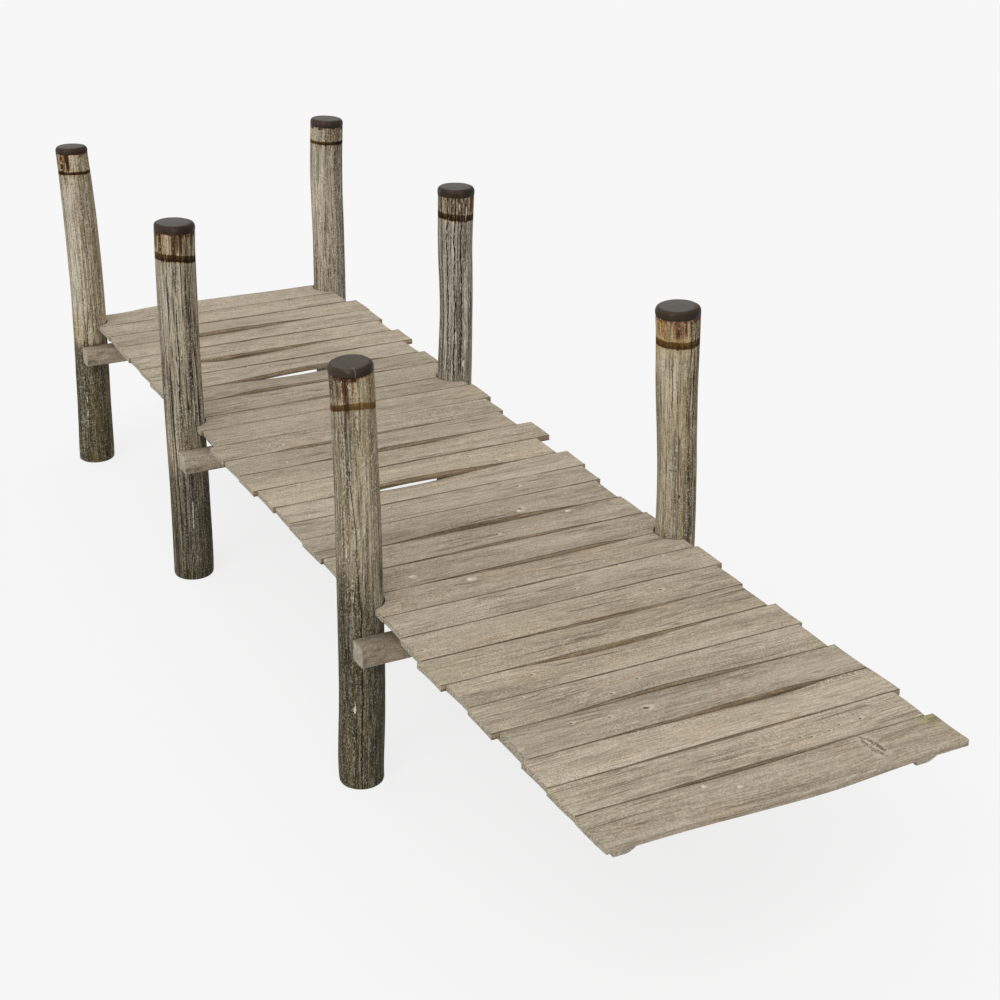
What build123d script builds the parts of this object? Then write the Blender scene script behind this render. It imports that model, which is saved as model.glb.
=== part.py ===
from build123d import *
import math
import os

os.makedirs("parts", exist_ok=True)

# A small timber jetty on six log posts. X runs across the deck and Y along it, with the
# open near end at -Y; Z is up. The origin is on the ground, in the middle of the jetty.
# All sizes are in millimetres.

# ---- plan of the jetty
row_spacing = 1650        # between the left and the right row of posts
near_overhang = 2130      # deck that reaches past the first pair of posts
first_bay = 2400          # first pair of posts to the second
second_bay = 1890         # second pair of posts to the third
far_overhang = 80         # deck that reaches past the third pair
far_post_back = 113       # third pair's centre line to the back of its posts

# ---- posts and caps
deck_section = 907        # height of the post section that the deck meets
cap_lip = 1.5             # how far a cap stands out past its post
cap_shoulder = 22         # rounding of a cap's upper edge
cap_foot_round = 3
cap_crown = 3             # rise of a cap's top from its shoulder to its middle

# ---- deck
deck_top = 907
plank_thickness = 30
plank_gap = 4             # open joint between neighbouring planks
notch_clearance = 8       # planks and stringers to the posts they pass

# ---- stringers, along the jetty under both sides of the deck
stringer_depth = 97
stringer_width = 113
stringer_flat = 65        # flat part of the underside, before the waney edge
wane_foot = 40            # first facet of the waney edge, sideways
wane_rise = 22            # first facet of the waney edge, upwards
wane_top = 48             # height at which the waney edge meets the inner face
stringer_near_setback = 95
stringer_far_setback = 45
left_stringer_inset = 126     # left row of posts to the stringer's left face
right_stringer_inset = 161    # right row of posts to the stringer's left face

# ---- cross beams, on the near side of each pair of posts
beam_size = 100
beam_end_reach = 60       # beam past the centre line of each row
beam_seat = 94            # pair's centre line to the beam's back face, housed in the posts
beam_edge = 5             # worn edge of a beam

# Each log post: the row it is in, the pair, how high its wood stands at the middle of its
# top, then its centre's drift across and along the jetty and its radius, at the levels
# listed in post_levels and at its top. Its cap is as tall as cap_height says and tips down
# by cap_tip degrees towards the left and by cap_nod towards the near end.
post_levels = (0, 300, 600, deck_section, 1200, 1500, 1800)
posts = {
    "post_near_left": dict(
        side=-1, pair=0, height=1979, cap_height=38, cap_tip=3.2, cap_nod=2.3,
        across=(2, 11, 20, 24, 28, 28, 26, 22), along=(-1, 1, 4, 9, 15, 22, 29, 34),
        radius=(103.5, 105.5, 104.5, 103, 101, 98.5, 96.5, 97)),
    "post_middle_left": dict(
        side=-1, pair=1, height=1977, cap_height=45, cap_tip=-2.5, cap_nod=0.6,
        across=(9, 15, 17, 17, 17, 20, 25, 31), along=(0, -1, 1, 3, 4, 5, 6, 6),
        radius=(109, 108.5, 107.5, 107, 105.5, 105.5, 106, 106)),
    "post_far_left": dict(
        side=-1, pair=2, height=1990, cap_height=39, cap_tip=-0.6, cap_nod=-2.1,
        across=(-5, 5, 14, 21, 23, 18, 7, -3), along=(-2, -3, -5, -10, -16, -23, -31, -36),
        radius=(109.5, 106, 103.5, 102.5, 101, 99.5, 96, 93)),
    "post_near_right": dict(
        side=1, pair=0, height=1982, cap_height=43, cap_tip=1.5, cap_nod=0,
        across=(-4, -4, -1, 4, 6, -2, -6, -9), along=(0, -1, -1, 4, 14, 25, 35, 40),
        radius=(103.5, 101, 98.5, 96, 93, 95, 100.5, 104)),
    "post_middle_right": dict(
        side=1, pair=1, height=1980, cap_height=46, cap_tip=-1.2, cap_nod=0,
        across=(-9, -8, -6, -4, 5, 5, 4, 7), along=(4, 3, 2, 1, -4, -5, -6, -9),
        radius=(103.5, 101.5, 100, 99, 95, 95.5, 99, 101.7)),
    "post_far_right": dict(
        side=1, pair=2, height=1979, cap_height=46, cap_tip=-3.8, cap_nod=0.5,
        across=(-5, -6, -5, -5, -3, -4, 1, 10), along=(1, 1, 1, 2, 0, 0, 0, -1),
        radius=(107.5, 106.5, 105, 104, 103, 103, 103.5, 102.5)),
}

# Each plank, from the near end to the far end: how far its near edge is shifted from an
# even spacing, how far its left and right ends stop short of the post rows (negative:
# past them), then the bow of its near edge and of its far edge, each with the place of
# the highest or lowest point as a share of the span between the stringers.
planks = (
    (0, 39, -7, -20, 0.60, -10, 0.40),
    (8, 37, 28, 2, 0.40, -3, 0.50),
    (0, 40, -9, 3, 0.50, -14, 0.80),
    (-10, 67, -4, 10, 0.80, 0, 0.50),
    (0, 30, 28, 20, 0.47, -2, 0.60),
    (2, 40, 3, 0, 0.50, -20, 0.42),
    (-8, 12, 43, 2, 0.50, -10, 0.62),
    (-2, 34, 26, 4, 0.60, 0, 0.50),
    (2, 50, -10, 3, 0.80, -2, 0.50),
    (-5, 50, 8, 2, 0.50, -8, 0.60),
    (-7, 47, 8, 12, 0.75, -3, 0.60),
    (2, 35, 23, 10, 0.60, -6, 0.60),
    (5, 25, 36, 18, 0.55, 0, 0.50),
    (18, 35, 3, 0, 0.50, 0, 0.50),
    (2, 44, -24, 2, 0.30, -25, 0.40),
    (-10, 36, 36, 18, 0.42, -2, 0.70),
    (5, 18, -49, 5, 0.70, -12, 0.65),
    (5, 23, 36, 10, 0.50, -6, 0.20),
    (5, 14, 11, 10, 0.20, 5, 0.50),
    (3, 57, -24, 0, 0.50, 2, 0.50),
    (22, 47, 3, 2, 0.80, -4, 0.40),
    (-8, 42, 3, 6, 0.50, -2, 0.80),
    (13, 42, -17, 16, 0.25, -18, 0.50),
    (7, 34, 20, 26, 0.57, -3, 0.70),
    (15, 48, -42, 4, 0.70, -24, 0.27),
    (13, 49, 3, 3, 0.50, -2, 0.50),
    (12, 44, -32, 4, 0.50, -14, 0.30),
    (20, 52, -39, 12, 0.35, -5, 0.50),
    (13, 49, 28, 0, 0.50, 0, 0.50),
    (7, 47, 28, 0, 0.50, 12, 0.20),
)

# ---- places worked out from the sizes above
row_x = row_spacing / 2
jetty_near = -(near_overhang + first_bay + second_bay + far_post_back) / 2
first_pair = jetty_near + near_overhang
second_pair = first_pair + first_bay
third_pair = second_pair + second_bay
pair_y = (first_pair, second_pair, third_pair)
deck_far = third_pair + far_overhang

deck_underside = deck_top - plank_thickness
beam_top = deck_underside - stringer_depth
left_stringer_x = -row_x + left_stringer_inset
right_stringer_x = row_x - right_stringer_inset
span_left = left_stringer_x + stringer_width
span_right = right_stringer_x


def save(piece, name):
    piece.label = name
    export_step(piece, f"parts/{name}.step")


def post_centre(post, level):
    """Centre of a post's section at one of post_levels."""
    x = post["side"] * row_x + post["across"][level]
    y = pair_y[post["pair"]] + post["along"][level]
    return x, y


def post_top_plane(post):
    x, y = post_centre(post, -1)
    return Plane(Location((x, y, post["height"]), (post["cap_nod"], -post["cap_tip"], 0)))


def build_post(name, post):
    """A tapered, slightly crooked log with a flat seat cut for its cross beam."""
    with BuildPart() as log:
        for level, height in enumerate(post_levels):
            x, y = post_centre(post, level)
            with BuildSketch(Plane((x, y, height))):
                Circle(post["radius"][level])
        with BuildSketch(post_top_plane(post)):
            Circle(post["radius"][-1])
        loft()
        seat_y = pair_y[post["pair"]] - beam_seat
        with Locations((post["side"] * row_x, seat_y - beam_size / 2, beam_top - beam_size / 2)):
            Box(beam_size * 4, beam_size, beam_size, mode=Mode.SUBTRACT)
    save(log.part, name)


def build_cap(name, post):
    """A low domed cap with a rounded shoulder, turned about the post's own axis."""
    top = post_top_plane(post)
    radius = post["radius"][-1] + cap_lip
    height = post["cap_height"]
    with BuildPart() as cap:
        with BuildSketch(Plane(origin=top.origin, x_dir=top.x_dir, z_dir=-top.y_dir)):
            with BuildLine():
                Polyline(
                    (0, height + cap_crown), (0, 0), (radius - cap_foot_round, 0),
                    (radius, cap_foot_round), (radius, height - cap_shoulder))
                shoulder = RadiusArc(
                    (radius, height - cap_shoulder), (radius - cap_shoulder, height),
                    -cap_shoulder)
                Spline(
                    shoulder @ 1, (0, height + cap_crown), tangents=(shoulder % 1, (-1, 0)))
            make_face()
        revolve(axis=Axis(top.origin, top.z_dir))
    save(cap.part, name)


def cut_for_posts(low_y, high_y):
    """Cut the current part round each post that stands between low_y and high_y."""
    deck_level = post_levels.index(deck_section)
    for post in posts.values():
        x, y = post_centre(post, deck_level)
        reach = post["radius"][deck_level] + notch_clearance
        if y + reach > low_y and y - reach < high_y:
            with Locations((x, y, deck_top)):
                Cylinder(reach, 4 * stringer_depth, mode=Mode.SUBTRACT)


def build_beam(name, y):
    """A square cross beam with worn long edges, against the near side of a pair of posts."""
    length = row_spacing + 2 * beam_end_reach
    with BuildPart() as beam:
        with Locations((0, y - beam_seat - beam_size / 2, beam_top - beam_size / 2)):
            Box(length, beam_size, beam_size)
        near_edges = beam.edges().filter_by(Axis.X).group_by(Axis.Y)[0]
        chamfer(near_edges, beam_edge)
    save(beam.part, name)


def build_stringer(name, x):
    """A sawn timber with one waney edge, cut back where it passes the posts."""
    start = jetty_near + stringer_near_setback
    end = deck_far - stringer_far_setback
    with BuildPart() as stringer:
        with BuildSketch(Plane.XZ.offset(-start)):
            with BuildLine():
                Polyline(
                    (x, beam_top),
                    (x + stringer_flat, beam_top),
                    (x + stringer_flat + wane_foot, beam_top + wane_rise),
                    (x + stringer_width, beam_top + wane_top),
                    (x + stringer_width, deck_underside),
                    (x, deck_underside),
                    close=True)
            make_face()
        extrude(amount=start - end)
        cut_for_posts(start, end)
    save(stringer.part, name)


def build_plank(name, near_y, far_y, plank):
    """A board whose near and far edges are flat over the stringers and bowed between."""
    shift, left_inset, right_inset, near_bow, near_place, far_bow, far_place = plank
    left = -row_x + left_inset
    right = row_x - right_inset
    with BuildPart() as board:
        for y, bow, place in ((near_y, near_bow, near_place), (far_y, far_bow, far_place)):
            peak = span_left + place * (span_right - span_left)
            with BuildSketch(Plane.XZ.offset(-y)):
                with BuildLine():
                    for z in (deck_top, deck_underside):
                        Line((left, z), (span_left, z))
                        Spline(
                            (span_left, z), (peak, z + bow), (span_right, z),
                            tangents=((1, 0), (1, 0), (1, 0)))
                        Line((span_right, z), (right, z))
                    Line((left, deck_underside), (left, deck_top))
                    Line((right, deck_underside), (right, deck_top))
                make_face()
        loft()
        cut_for_posts(near_y, far_y)
    save(board.part, name)


for name, post in posts.items():
    build_post(name, post)
    build_cap(name.replace("post", "cap"), post)

for place, y in zip(("near", "middle", "far"), pair_y):
    build_beam(f"cross_beam_{place}", y)

build_stringer("stringer_left", left_stringer_x)
build_stringer("stringer_right", right_stringer_x)

pitch = (deck_far - jetty_near) / len(planks)
seams = [jetty_near + count * pitch + plank[0] for count, plank in enumerate(planks)]
seams.append(deck_far + plank_gap)
for count, plank in enumerate(planks):
    build_plank(f"plank_{count + 1:02d}", seams[count], seams[count + 1] - plank_gap, plank)
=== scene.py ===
import math

import bmesh
import bpy
import numpy as np
from mathutils import Matrix, Vector
from mathutils.bvhtree import BVHTree


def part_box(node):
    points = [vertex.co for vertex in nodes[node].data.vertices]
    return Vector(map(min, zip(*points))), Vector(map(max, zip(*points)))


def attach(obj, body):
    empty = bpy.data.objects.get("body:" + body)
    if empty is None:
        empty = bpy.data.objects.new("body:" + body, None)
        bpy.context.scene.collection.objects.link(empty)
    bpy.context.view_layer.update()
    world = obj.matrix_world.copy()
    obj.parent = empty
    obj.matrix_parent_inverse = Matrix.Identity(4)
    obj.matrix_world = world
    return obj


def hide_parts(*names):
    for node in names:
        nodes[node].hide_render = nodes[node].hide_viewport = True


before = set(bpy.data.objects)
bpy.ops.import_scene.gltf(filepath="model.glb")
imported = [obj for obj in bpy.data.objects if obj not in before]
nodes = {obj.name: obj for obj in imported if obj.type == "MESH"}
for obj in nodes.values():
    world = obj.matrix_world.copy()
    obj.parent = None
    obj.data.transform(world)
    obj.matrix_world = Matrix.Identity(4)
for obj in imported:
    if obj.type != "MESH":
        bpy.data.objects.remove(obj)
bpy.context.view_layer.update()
pi = math.pi

# ---------------------------------------------------------------- measures, in metres
# unless they are counts or directions
deck_level = 0.890
notch_clearance = 0.008
ring_below_cap = 0.112
timber_wear, board_wear = 0.002, 0.0008
board_notch_sides, bearer_notch_sides = 22, 26
beam_rounds, beam_pitch = (0.006, 0.003, 0.003, 0.006), 0.014
bearer_rounds, bearer_pitch = (0.003, 0.003, 0.012, 0.012, 0.012, 0.005), 0.026
cap_pitch = 0.0040
double_distance, cap_double_distance = 0.00003, 0.00002
cutter_reach = 0.05
crack_limit = 3
# the near left cap's scratch, from its start to its end, and the shady side of every cap,
# where painted shade goes, and its sunny side, where a painted highlight goes, all as seen
# from the cap's middle
near_scratch = ((-0.0160, -0.0480), (-0.0215, -0.1300))
shady_side, sunny_side = (0.62, -0.78), (-0.96, -0.28)

# ---------------------------------------------------------------- camera
camera_place = Vector((-3.650, -8.012, 4.708))
camera_down = math.radians(24.05)
camera_right = math.radians(27.22)
camera_roll = math.radians(0.235)
camera_lens = 67.89

level_right = Vector((math.cos(camera_right), -math.sin(camera_right), 0))
forward = Vector((
    math.sin(camera_right) * math.cos(camera_down),
    math.cos(camera_right) * math.cos(camera_down),
    -math.sin(camera_down)))
level_up = level_right.cross(forward)
camera_x = level_right * math.cos(camera_roll) + level_up * math.sin(camera_roll)
camera_y = level_up * math.cos(camera_roll) - level_right * math.sin(camera_roll)
camera = bpy.data.objects.new("camera", bpy.data.cameras.new("camera"))
bpy.context.scene.collection.objects.link(camera)
camera.data.lens = camera_lens
camera.data.sensor_width = 36
camera.matrix_world = Matrix((
    (camera_x.x, camera_y.x, -forward.x, camera_place.x),
    (camera_x.y, camera_y.y, -forward.y, camera_place.y),
    (camera_x.z, camera_y.z, -forward.z, camera_place.z),
    (0, 0, 0, 1)))
bpy.context.scene.camera = camera


# ---------------------------------------------------------------- building node trees
class Field:
    """A value in a node tree, which can be added, scaled and so on."""

    def __init__(self, n, socket):
        self.n, self.socket = n, socket

    def __add__(self, other):
        return self.n.math("ADD", self, other)

    def __sub__(self, other):
        return self.n.math("SUBTRACT", self, other)

    def __rsub__(self, other):
        return self.n.math("SUBTRACT", other, self)

    def __mul__(self, other):
        return self.n.math("MULTIPLY", self, other)

    def __truediv__(self, other):
        return self.n.math("DIVIDE", self, other)

    def __abs__(self):
        return self.n.math("ABSOLUTE", self)

    __radd__, __rmul__ = __add__, __mul__


class Nodes:
    """Adds nodes to a tree with one short call each."""

    def __init__(self, tree):
        self.tree = tree

    def add(self, kind, **values):
        node = self.tree.nodes.new(kind)
        for name, value in values.items():
            setattr(node, name, value)
        return node

    def put(self, socket, value):
        if isinstance(value, Field):
            value = value.socket
        if isinstance(value, bpy.types.NodeSocket):
            self.tree.links.new(value, socket)
        elif socket.type == "RGBA" and len(value) == 3:
            socket.default_value = (*value, 1)
        else:
            socket.default_value = value

    def run(self, kind, output=0, settings=None, **inputs):
        node = self.add(kind, **(settings or {}))
        for name, value in inputs.items():
            self.put(node.inputs[name.replace("_", " ")], value)
        return Field(self, node.outputs[output])

    def join(self, kind, *values, **settings):
        """A node whose inputs are given in their own order."""
        node = self.add(kind, **settings)
        for socket, value in zip(node.inputs, values):
            self.put(socket, value)
        return Field(self, node.outputs[0])

    def math(self, operation, *values):
        return self.join("ShaderNodeMath", *values, operation=operation)

    def vector(self, x, y, z):
        return self.run("ShaderNodeCombineXYZ", X=x, Y=y, Z=z)

    def scaled(self, direction, amount):
        return self.run(
            "ShaderNodeVectorMath", 0, {"operation": "SCALE"}, Vector=direction, Scale=amount)

    def summed(self, a, b):
        return self.join("ShaderNodeVectorMath", a, b, operation="ADD")

    def parts(self, vector):
        node = self.add("ShaderNodeSeparateXYZ")
        self.put(node.inputs[0], vector)
        return [Field(self, socket) for socket in node.outputs]

    def distance(self, x, y):
        return self.math("SQRT", x * x + y * y)

    def layer(self, name, output="Fac"):
        return self.run("ShaderNodeAttribute", output, {"attribute_name": name})

    def stretch(self, vector, scale, shift=(0, 0, 0)):
        return self.run("ShaderNodeMapping", Vector=vector, Scale=scale, Location=shift)

    def noise(self, vector, scale=None, shift=(0, 0, 0), detail=3.0, rough=0.5):
        """Noise from 0 to 1 over a place, which is scaled and shifted first."""
        if scale:
            vector = self.stretch(vector, scale, shift)
        return self.run(
            "ShaderNodeTexNoise", Vector=vector, Scale=1.0, Detail=detail, Roughness=rough)

    def span(self, value, low, high, to_low=0.0, to_high=1.0, smooth=True):
        return self.run(
            "ShaderNodeMapRange", 0,
            {"interpolation_type": "SMOOTHSTEP" if smooth else "LINEAR"},
            Value=value, From_Min=low, From_Max=high, To_Min=to_low, To_Max=to_high)

    def mix(self, factor, a, b, blend="MIX"):
        node = self.add("ShaderNodeMix", data_type="RGBA", blend_type=blend)
        for socket, value in ((0, factor), (6, a), (7, b)):
            self.put(node.inputs[socket], value)
        return Field(self, node.outputs[2])

    def times(self, a, b):
        return self.mix(1.0, a, b, "MULTIPLY")

    def tint(self, colour, value, low, high, dark, light):
        """Multiplies a colour by dark where value is low and by light where it is high."""
        return self.times(colour, self.mix(self.span(value, low, high), (dark,) * 3, (light,) * 3))

    def shaded(self, colour, name, low, high):
        """Multiplies a colour by low where a layer is 0 and by high where it is 1."""
        return self.times(colour, self.mix(self.layer(name), low, high))

    def blend(self, value, first, second, dark, middle, light):
        """Goes from dark to middle over a first span of a value, and to light over a second."""
        colour = self.mix(self.span(value, *first), dark, middle)
        return self.mix(self.span(value, *second), colour, light)

    def coats(self, colour, *coats):
        """Lays colours over one another, each where its value goes from low to high."""
        for value, low, high, strength, coat in coats:
            colour = self.mix(self.span(value, low, high) * strength, colour, coat)
        return colour

    def group(self, tree, **values):
        node = self.add("ShaderNodeGroup", node_tree=tree)
        for name, value in values.items():
            self.put(node.inputs[name.replace("_", " ")], value)
        return {socket.name: Field(self, socket) for socket in node.outputs}

    def bump(self, height, strength, distance, **normal):
        return self.run(
            "ShaderNodeBump", Height=height, Strength=strength, Distance=distance, **normal)


def new_group(name, inputs, outputs, kind="ShaderNodeTree"):
    tree = bpy.data.node_groups.new(name, kind)
    for socket_name, socket_kind, value in inputs:
        socket = tree.interface.new_socket(
            name=socket_name, in_out="INPUT", socket_type="NodeSocket" + socket_kind)
        if value is not None:
            socket.default_value = value
    for socket_name, socket_kind in outputs:
        tree.interface.new_socket(
            name=socket_name, in_out="OUTPUT", socket_type="NodeSocket" + socket_kind)
    n = Nodes(tree)
    given = {socket.name: Field(n, socket) for socket in n.add("NodeGroupInput").outputs}
    return tree, n, given, n.add("NodeGroupOutput").inputs


def new_material(name, specular):
    material = bpy.data.materials.new(name)
    material.use_nodes = True
    shader = material.node_tree.nodes["Principled BSDF"]
    shader.inputs["Specular IOR Level"].default_value = specular
    return material, Nodes(material.node_tree), shader.inputs


# ---------------------------------------------------------------- effects that woods share
def grain_group():
    """Streaks, ticks, checks and cracks along the first axis of Place, in metres."""
    tree, n, given, out = new_group(
        "wood grain",
        [("Place", "Vector", None), ("Sway", "Float", 0.02), ("Fine", "Float", 1.0)],
        [(name, "Float") for name in (
            "Tone", "Streak", "Tick", "Fibre", "Checks", "Cracks", "Mottle", "Height")])
    place, fine = given["Place"], given["Fine"]
    sway = (n.noise(place, (1.3, 6, 6), detail=2) - 0.5) * given["Sway"]
    x, y, z = n.parts(place)
    path = n.vector(x, (y + sway) * fine, (z + sway * 0.6) * fine)
    even = n.vector(x, y * fine, z * fine)
    made = {
        "Tone": n.noise(path, (0.9, 20, 20), detail=4),
        "Streak": n.noise(path, (1.1, 125, 125), (3, 1, 2), 2, 0.6),
        "Tick": n.noise(path, (11, 160, 160), (6, 2, 8), 2, 0.6),
        "Fibre": n.noise(path, (16, 290, 290), (1, 5, 3), 2, 0.6),
        "Mottle": n.noise(even, (120, 150, 150), (4, 4, 4), 2, 0.6)}
    # lines run where a stretched noise crosses its middle, and fade in and out
    line = n.noise(path, (0.8, 50, 50), (7, 2, 9), 2, 0.4)
    fade = n.noise(even, (3.5, 28, 28), (2, 8, 4), 2)
    made["Checks"] = n.span(abs(line - 0.5), 0.006, 0.028, 1, 0) * n.span(fade, 0.48, 0.56)
    line = n.noise(path, (0.6, 32, 32), (2, 7, 1), 1.5, 0.4)
    fade = n.noise(even, (1.8, 20, 20), (8, 8, 2), 1)
    made["Cracks"] = n.span(abs(line - 0.5), 0.008, 0.032, 1, 0) * n.span(fade, 0.45, 0.54)
    made["Height"] = (
        made["Streak"] * 0.5 + made["Tick"] * 0.4 + made["Fibre"] * 0.2
        - made["Checks"] - made["Cracks"] * 1.4)
    for name, value in made.items():
        n.put(out[name], value)
    return tree


def growth_ring_group():
    """Lines of a log's yearly rings where a board is sawn; Heart is measured from the pith."""
    tree, n, given, out = new_group(
        "growth rings", [("Heart", "Vector", None), ("Ring Width", "Float", 0.009)],
        [("Line", "Float")])
    heart = given["Heart"]
    _, y, z = n.parts(heart)
    sway = n.noise(heart, (0.9, 2.5, 2.5), detail=2) - 0.5
    shake = n.noise(heart, (9, 40, 40), (5, 5, 5), 2) - 0.5
    apart = n.distance(y, z + sway * 0.16) + shake * 0.005
    turn = n.math("FRACT", apart / given["Ring Width"])
    n.put(out["Line"], n.span(turn, 0.45, 0.85) * n.span(turn, 0.9, 1.0, 1, 0))
    return tree


grain = grain_group()
growth_rings = growth_ring_group()
grain_names = ("Tone", "Streak", "Tick", "Fibre", "Mottle")


def sawn_wood(name, dark, middle, light, deep, end_light, along="X", streaky=1.0):
    """Bleached sawn timber; each piece carries its place, knots and painted shades as layers."""
    material, n, inputs = new_material(name, 0.3)
    place = n.layer("wood_place", "Vector")
    wood = n.group(grain, Place=place, Sway=0.02, Fine=0.58)
    tone, streak, tick, fibre, mottle = (wood[key] for key in grain_names)
    rings = n.group(growth_rings, Heart=n.layer("heart", "Vector"), Ring_Width=0.011)["Line"]
    colour = n.blend(tone, (0.36, 0.5), (0.5, 0.64), dark, middle, light)
    brown = n.times(colour, (0.60, 0.565, 0.515))
    paler = tuple(value * 1.24 for value in light)
    bared, resin = (0.60, 0.53, 0.42), (0.72, 0.66, 0.55)
    lines = n.span(n.noise(place, (1.8, 8, 8), (9, 9, 9), 2), 0.42, 0.58)
    bleach = n.noise(place, (2.4, 11, 11), (3, 7, 1), 3, 0.6)
    speck = n.noise(place, (170, 88, 88), (7, 3, 5), 1.5)
    grit = n.layer("sand") * 0.6 + 0.3
    colour = n.coats(
        colour, (bleach, 0.55, 0.68, 0.45, (0.50, 0.425, 0.32)), (bleach, 0.44, 0.33, 0.30, brown),
        (streak, 0.45, 0.39, (lines * 0.4 + 0.12) * streaky, brown))
    colour = n.mix(rings * (lines * 0.45 + 0.12), colour, brown)
    colour = n.coats(
        colour, (tick, 0.43, 0.37, 0.5, brown), (tick, 0.57, 0.64, 0.4, paler),
        (speck, 0.44, 0.37, grit, brown), (speck, 0.56, 0.64, grit, paler))
    colour = n.tint(colour, fibre, 0.3, 0.7, 0.89, 1.11)
    colour = n.tint(colour, mottle, 0.35, 0.65, 0.90, 1.10)
    colour = n.shaded(colour, "tone", (0.82, 0.81, 0.795), (1.16, 1.165, 1.17))
    colour = n.shaded(colour, "warm", (0.985, 1.0, 1.02), (1.02, 0.99, 0.95))
    # painted shade: darker bands where a board tilts away from the light, and along the top of
    # beams and bearers under what lies on them
    shade = n.layer("shade") * n.span(streak, 0.38, 0.58, 1.0, 0.55)
    colour = n.mix(shade, colour, n.times(colour, (0.60, 0.59, 0.58)))
    colour = n.mix(wood["Checks"] * lines * (0.55 * streaky), colour, deep)
    blush = n.noise(place, (3, 13, 13), (5, 5, 5), 2)
    for low, high, strength, cast in (
            (0.54, 0.66, 0.55, (1.03, 0.965, 0.92)), (0.46, 0.34, 0.6, (0.985, 1.0, 0.975))):
        colour = n.coats(colour, (blush, low, high, strength, n.times(colour, cast)))

    # knots: their layer holds the place from the heart, in heart radii, and how far it counts;
    # below zero it is a pale one
    along_knot, across_knot, near_knot = n.parts(n.layer("knot", "Vector"))
    counts = abs(near_knot)
    uneven = n.noise(place, (70, 110, 110), rough=0.6) - 0.5
    torn_along, torn_across = along_knot + uneven * 1.5, across_knot + uneven * 1.1
    far = n.distance(torn_along, torn_across)
    tail = n.span(abs(torn_across), 1.0, 0.2) * n.span(far, 4.6, 1.5)
    colour = n.mix(tail * counts * 0.45, colour, n.times(colour, (0.74, 0.61, 0.45)))
    colour = n.coats(
        colour, (n.distance(torn_along - 0.7, torn_across), 2.0, 1.1, counts * 0.8, bared),
        (far, 0.95, 0.55, counts * 0.9, n.mix(n.span(near_knot, -0.01, 0.01), resin, deep)))

    # a torn scar: its layer holds the place along and across it, and how far it counts
    along_scar, across_scar, inside = n.parts(n.layer("scar", "Vector"))
    torn = across_scar + uneven * 2.2
    bow = along_scar * along_scar
    slant = torn - along_scar * 0.3
    upper, lower = slant - 0.8 + bow * 0.7, slant + 0.8 - bow * 0.6
    rim = n.span(abs(torn), 1.8, 1.1) * n.span(abs(along_scar), 1.2, 0.9) * inside
    colour = n.mix(rim * 0.4, colour, (0.58, 0.51, 0.40))
    inner = n.span(upper, 0.0, -0.2) * n.span(lower, 0.0, 0.2) * inside
    fold = n.math("SINE", slant * 8.5 + 0.6)
    colour = n.coats(
        colour, (fold, -0.1, 0.5, inner * 0.8, bared), (fold, -0.2, -0.7, inner * 0.75, deep))
    for line, middle, strength in ((upper, -0.15, 0.72), (lower, 0.2, 0.62)):
        shown = n.span(abs(along_scar - middle), 1.05, 0.75) * inside * strength
        colour = n.coats(colour, (abs(line) + (mottle - 0.5) * 1.6, 0.34, 0.05, shown, deep))
    colour = n.mix(n.layer("split") * 0.85, colour, deep)
    colour = n.mix(n.layer("green"), colour, n.times(colour, (0.84, 0.90, 0.62)))

    # long edges: distance in from the edge on top, and below zero down the side; the sides are
    # painted darker as shade, deeper down painted shade between the boards, and along the seams
    # runs a dark line, partly dirt and partly painted shade
    edge = n.layer("edge")
    seam = n.span(n.noise(place, (3.5, 2, 2), (1, 1, 1), 2), 0.38, 0.55, 0.45, 0.95)
    seam_dirt_and_shade = n.span(edge, -0.003, -0.0008) * seam * 0.85
    colour = n.coats(
        colour, (edge, -0.0004, -0.0016, 1.0, n.times(colour, (0.83, 0.76, 0.655))),
        (edge, -0.008, -0.024, 0.4, deep),
        (edge, 0.0056, 0.0024, seam_dirt_and_shade, tuple(value * 1.2 for value in deep)))

    # end grain
    face = n.parts(n.run("ShaderNodeNewGeometry", "Normal"))["XYZ".index(along)]
    sawn_end = n.mix(rings * 0.75, end_light, tuple(value * 0.75 for value in dark))
    sawn_end = n.tint(sawn_end, tick, 0.4, 0.6, 0.82, 1.14)
    sawn_end = n.tint(sawn_end, mottle, 0.36, 0.64, 0.78, 1.2)
    colour = n.coats(colour, (abs(face), 0.75, 0.95, 0.8, sawn_end))
    n.put(inputs["Base Color"], colour)
    height = wood["Height"] + rings * -0.3 + speck * grit * 0.7
    n.put(inputs["Normal"], n.bump(height, 0.6, 0.0035))
    n.put(inputs["Roughness"], n.span(fibre, 0.3, 0.7, 0.8, 0.95))
    return material


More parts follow.
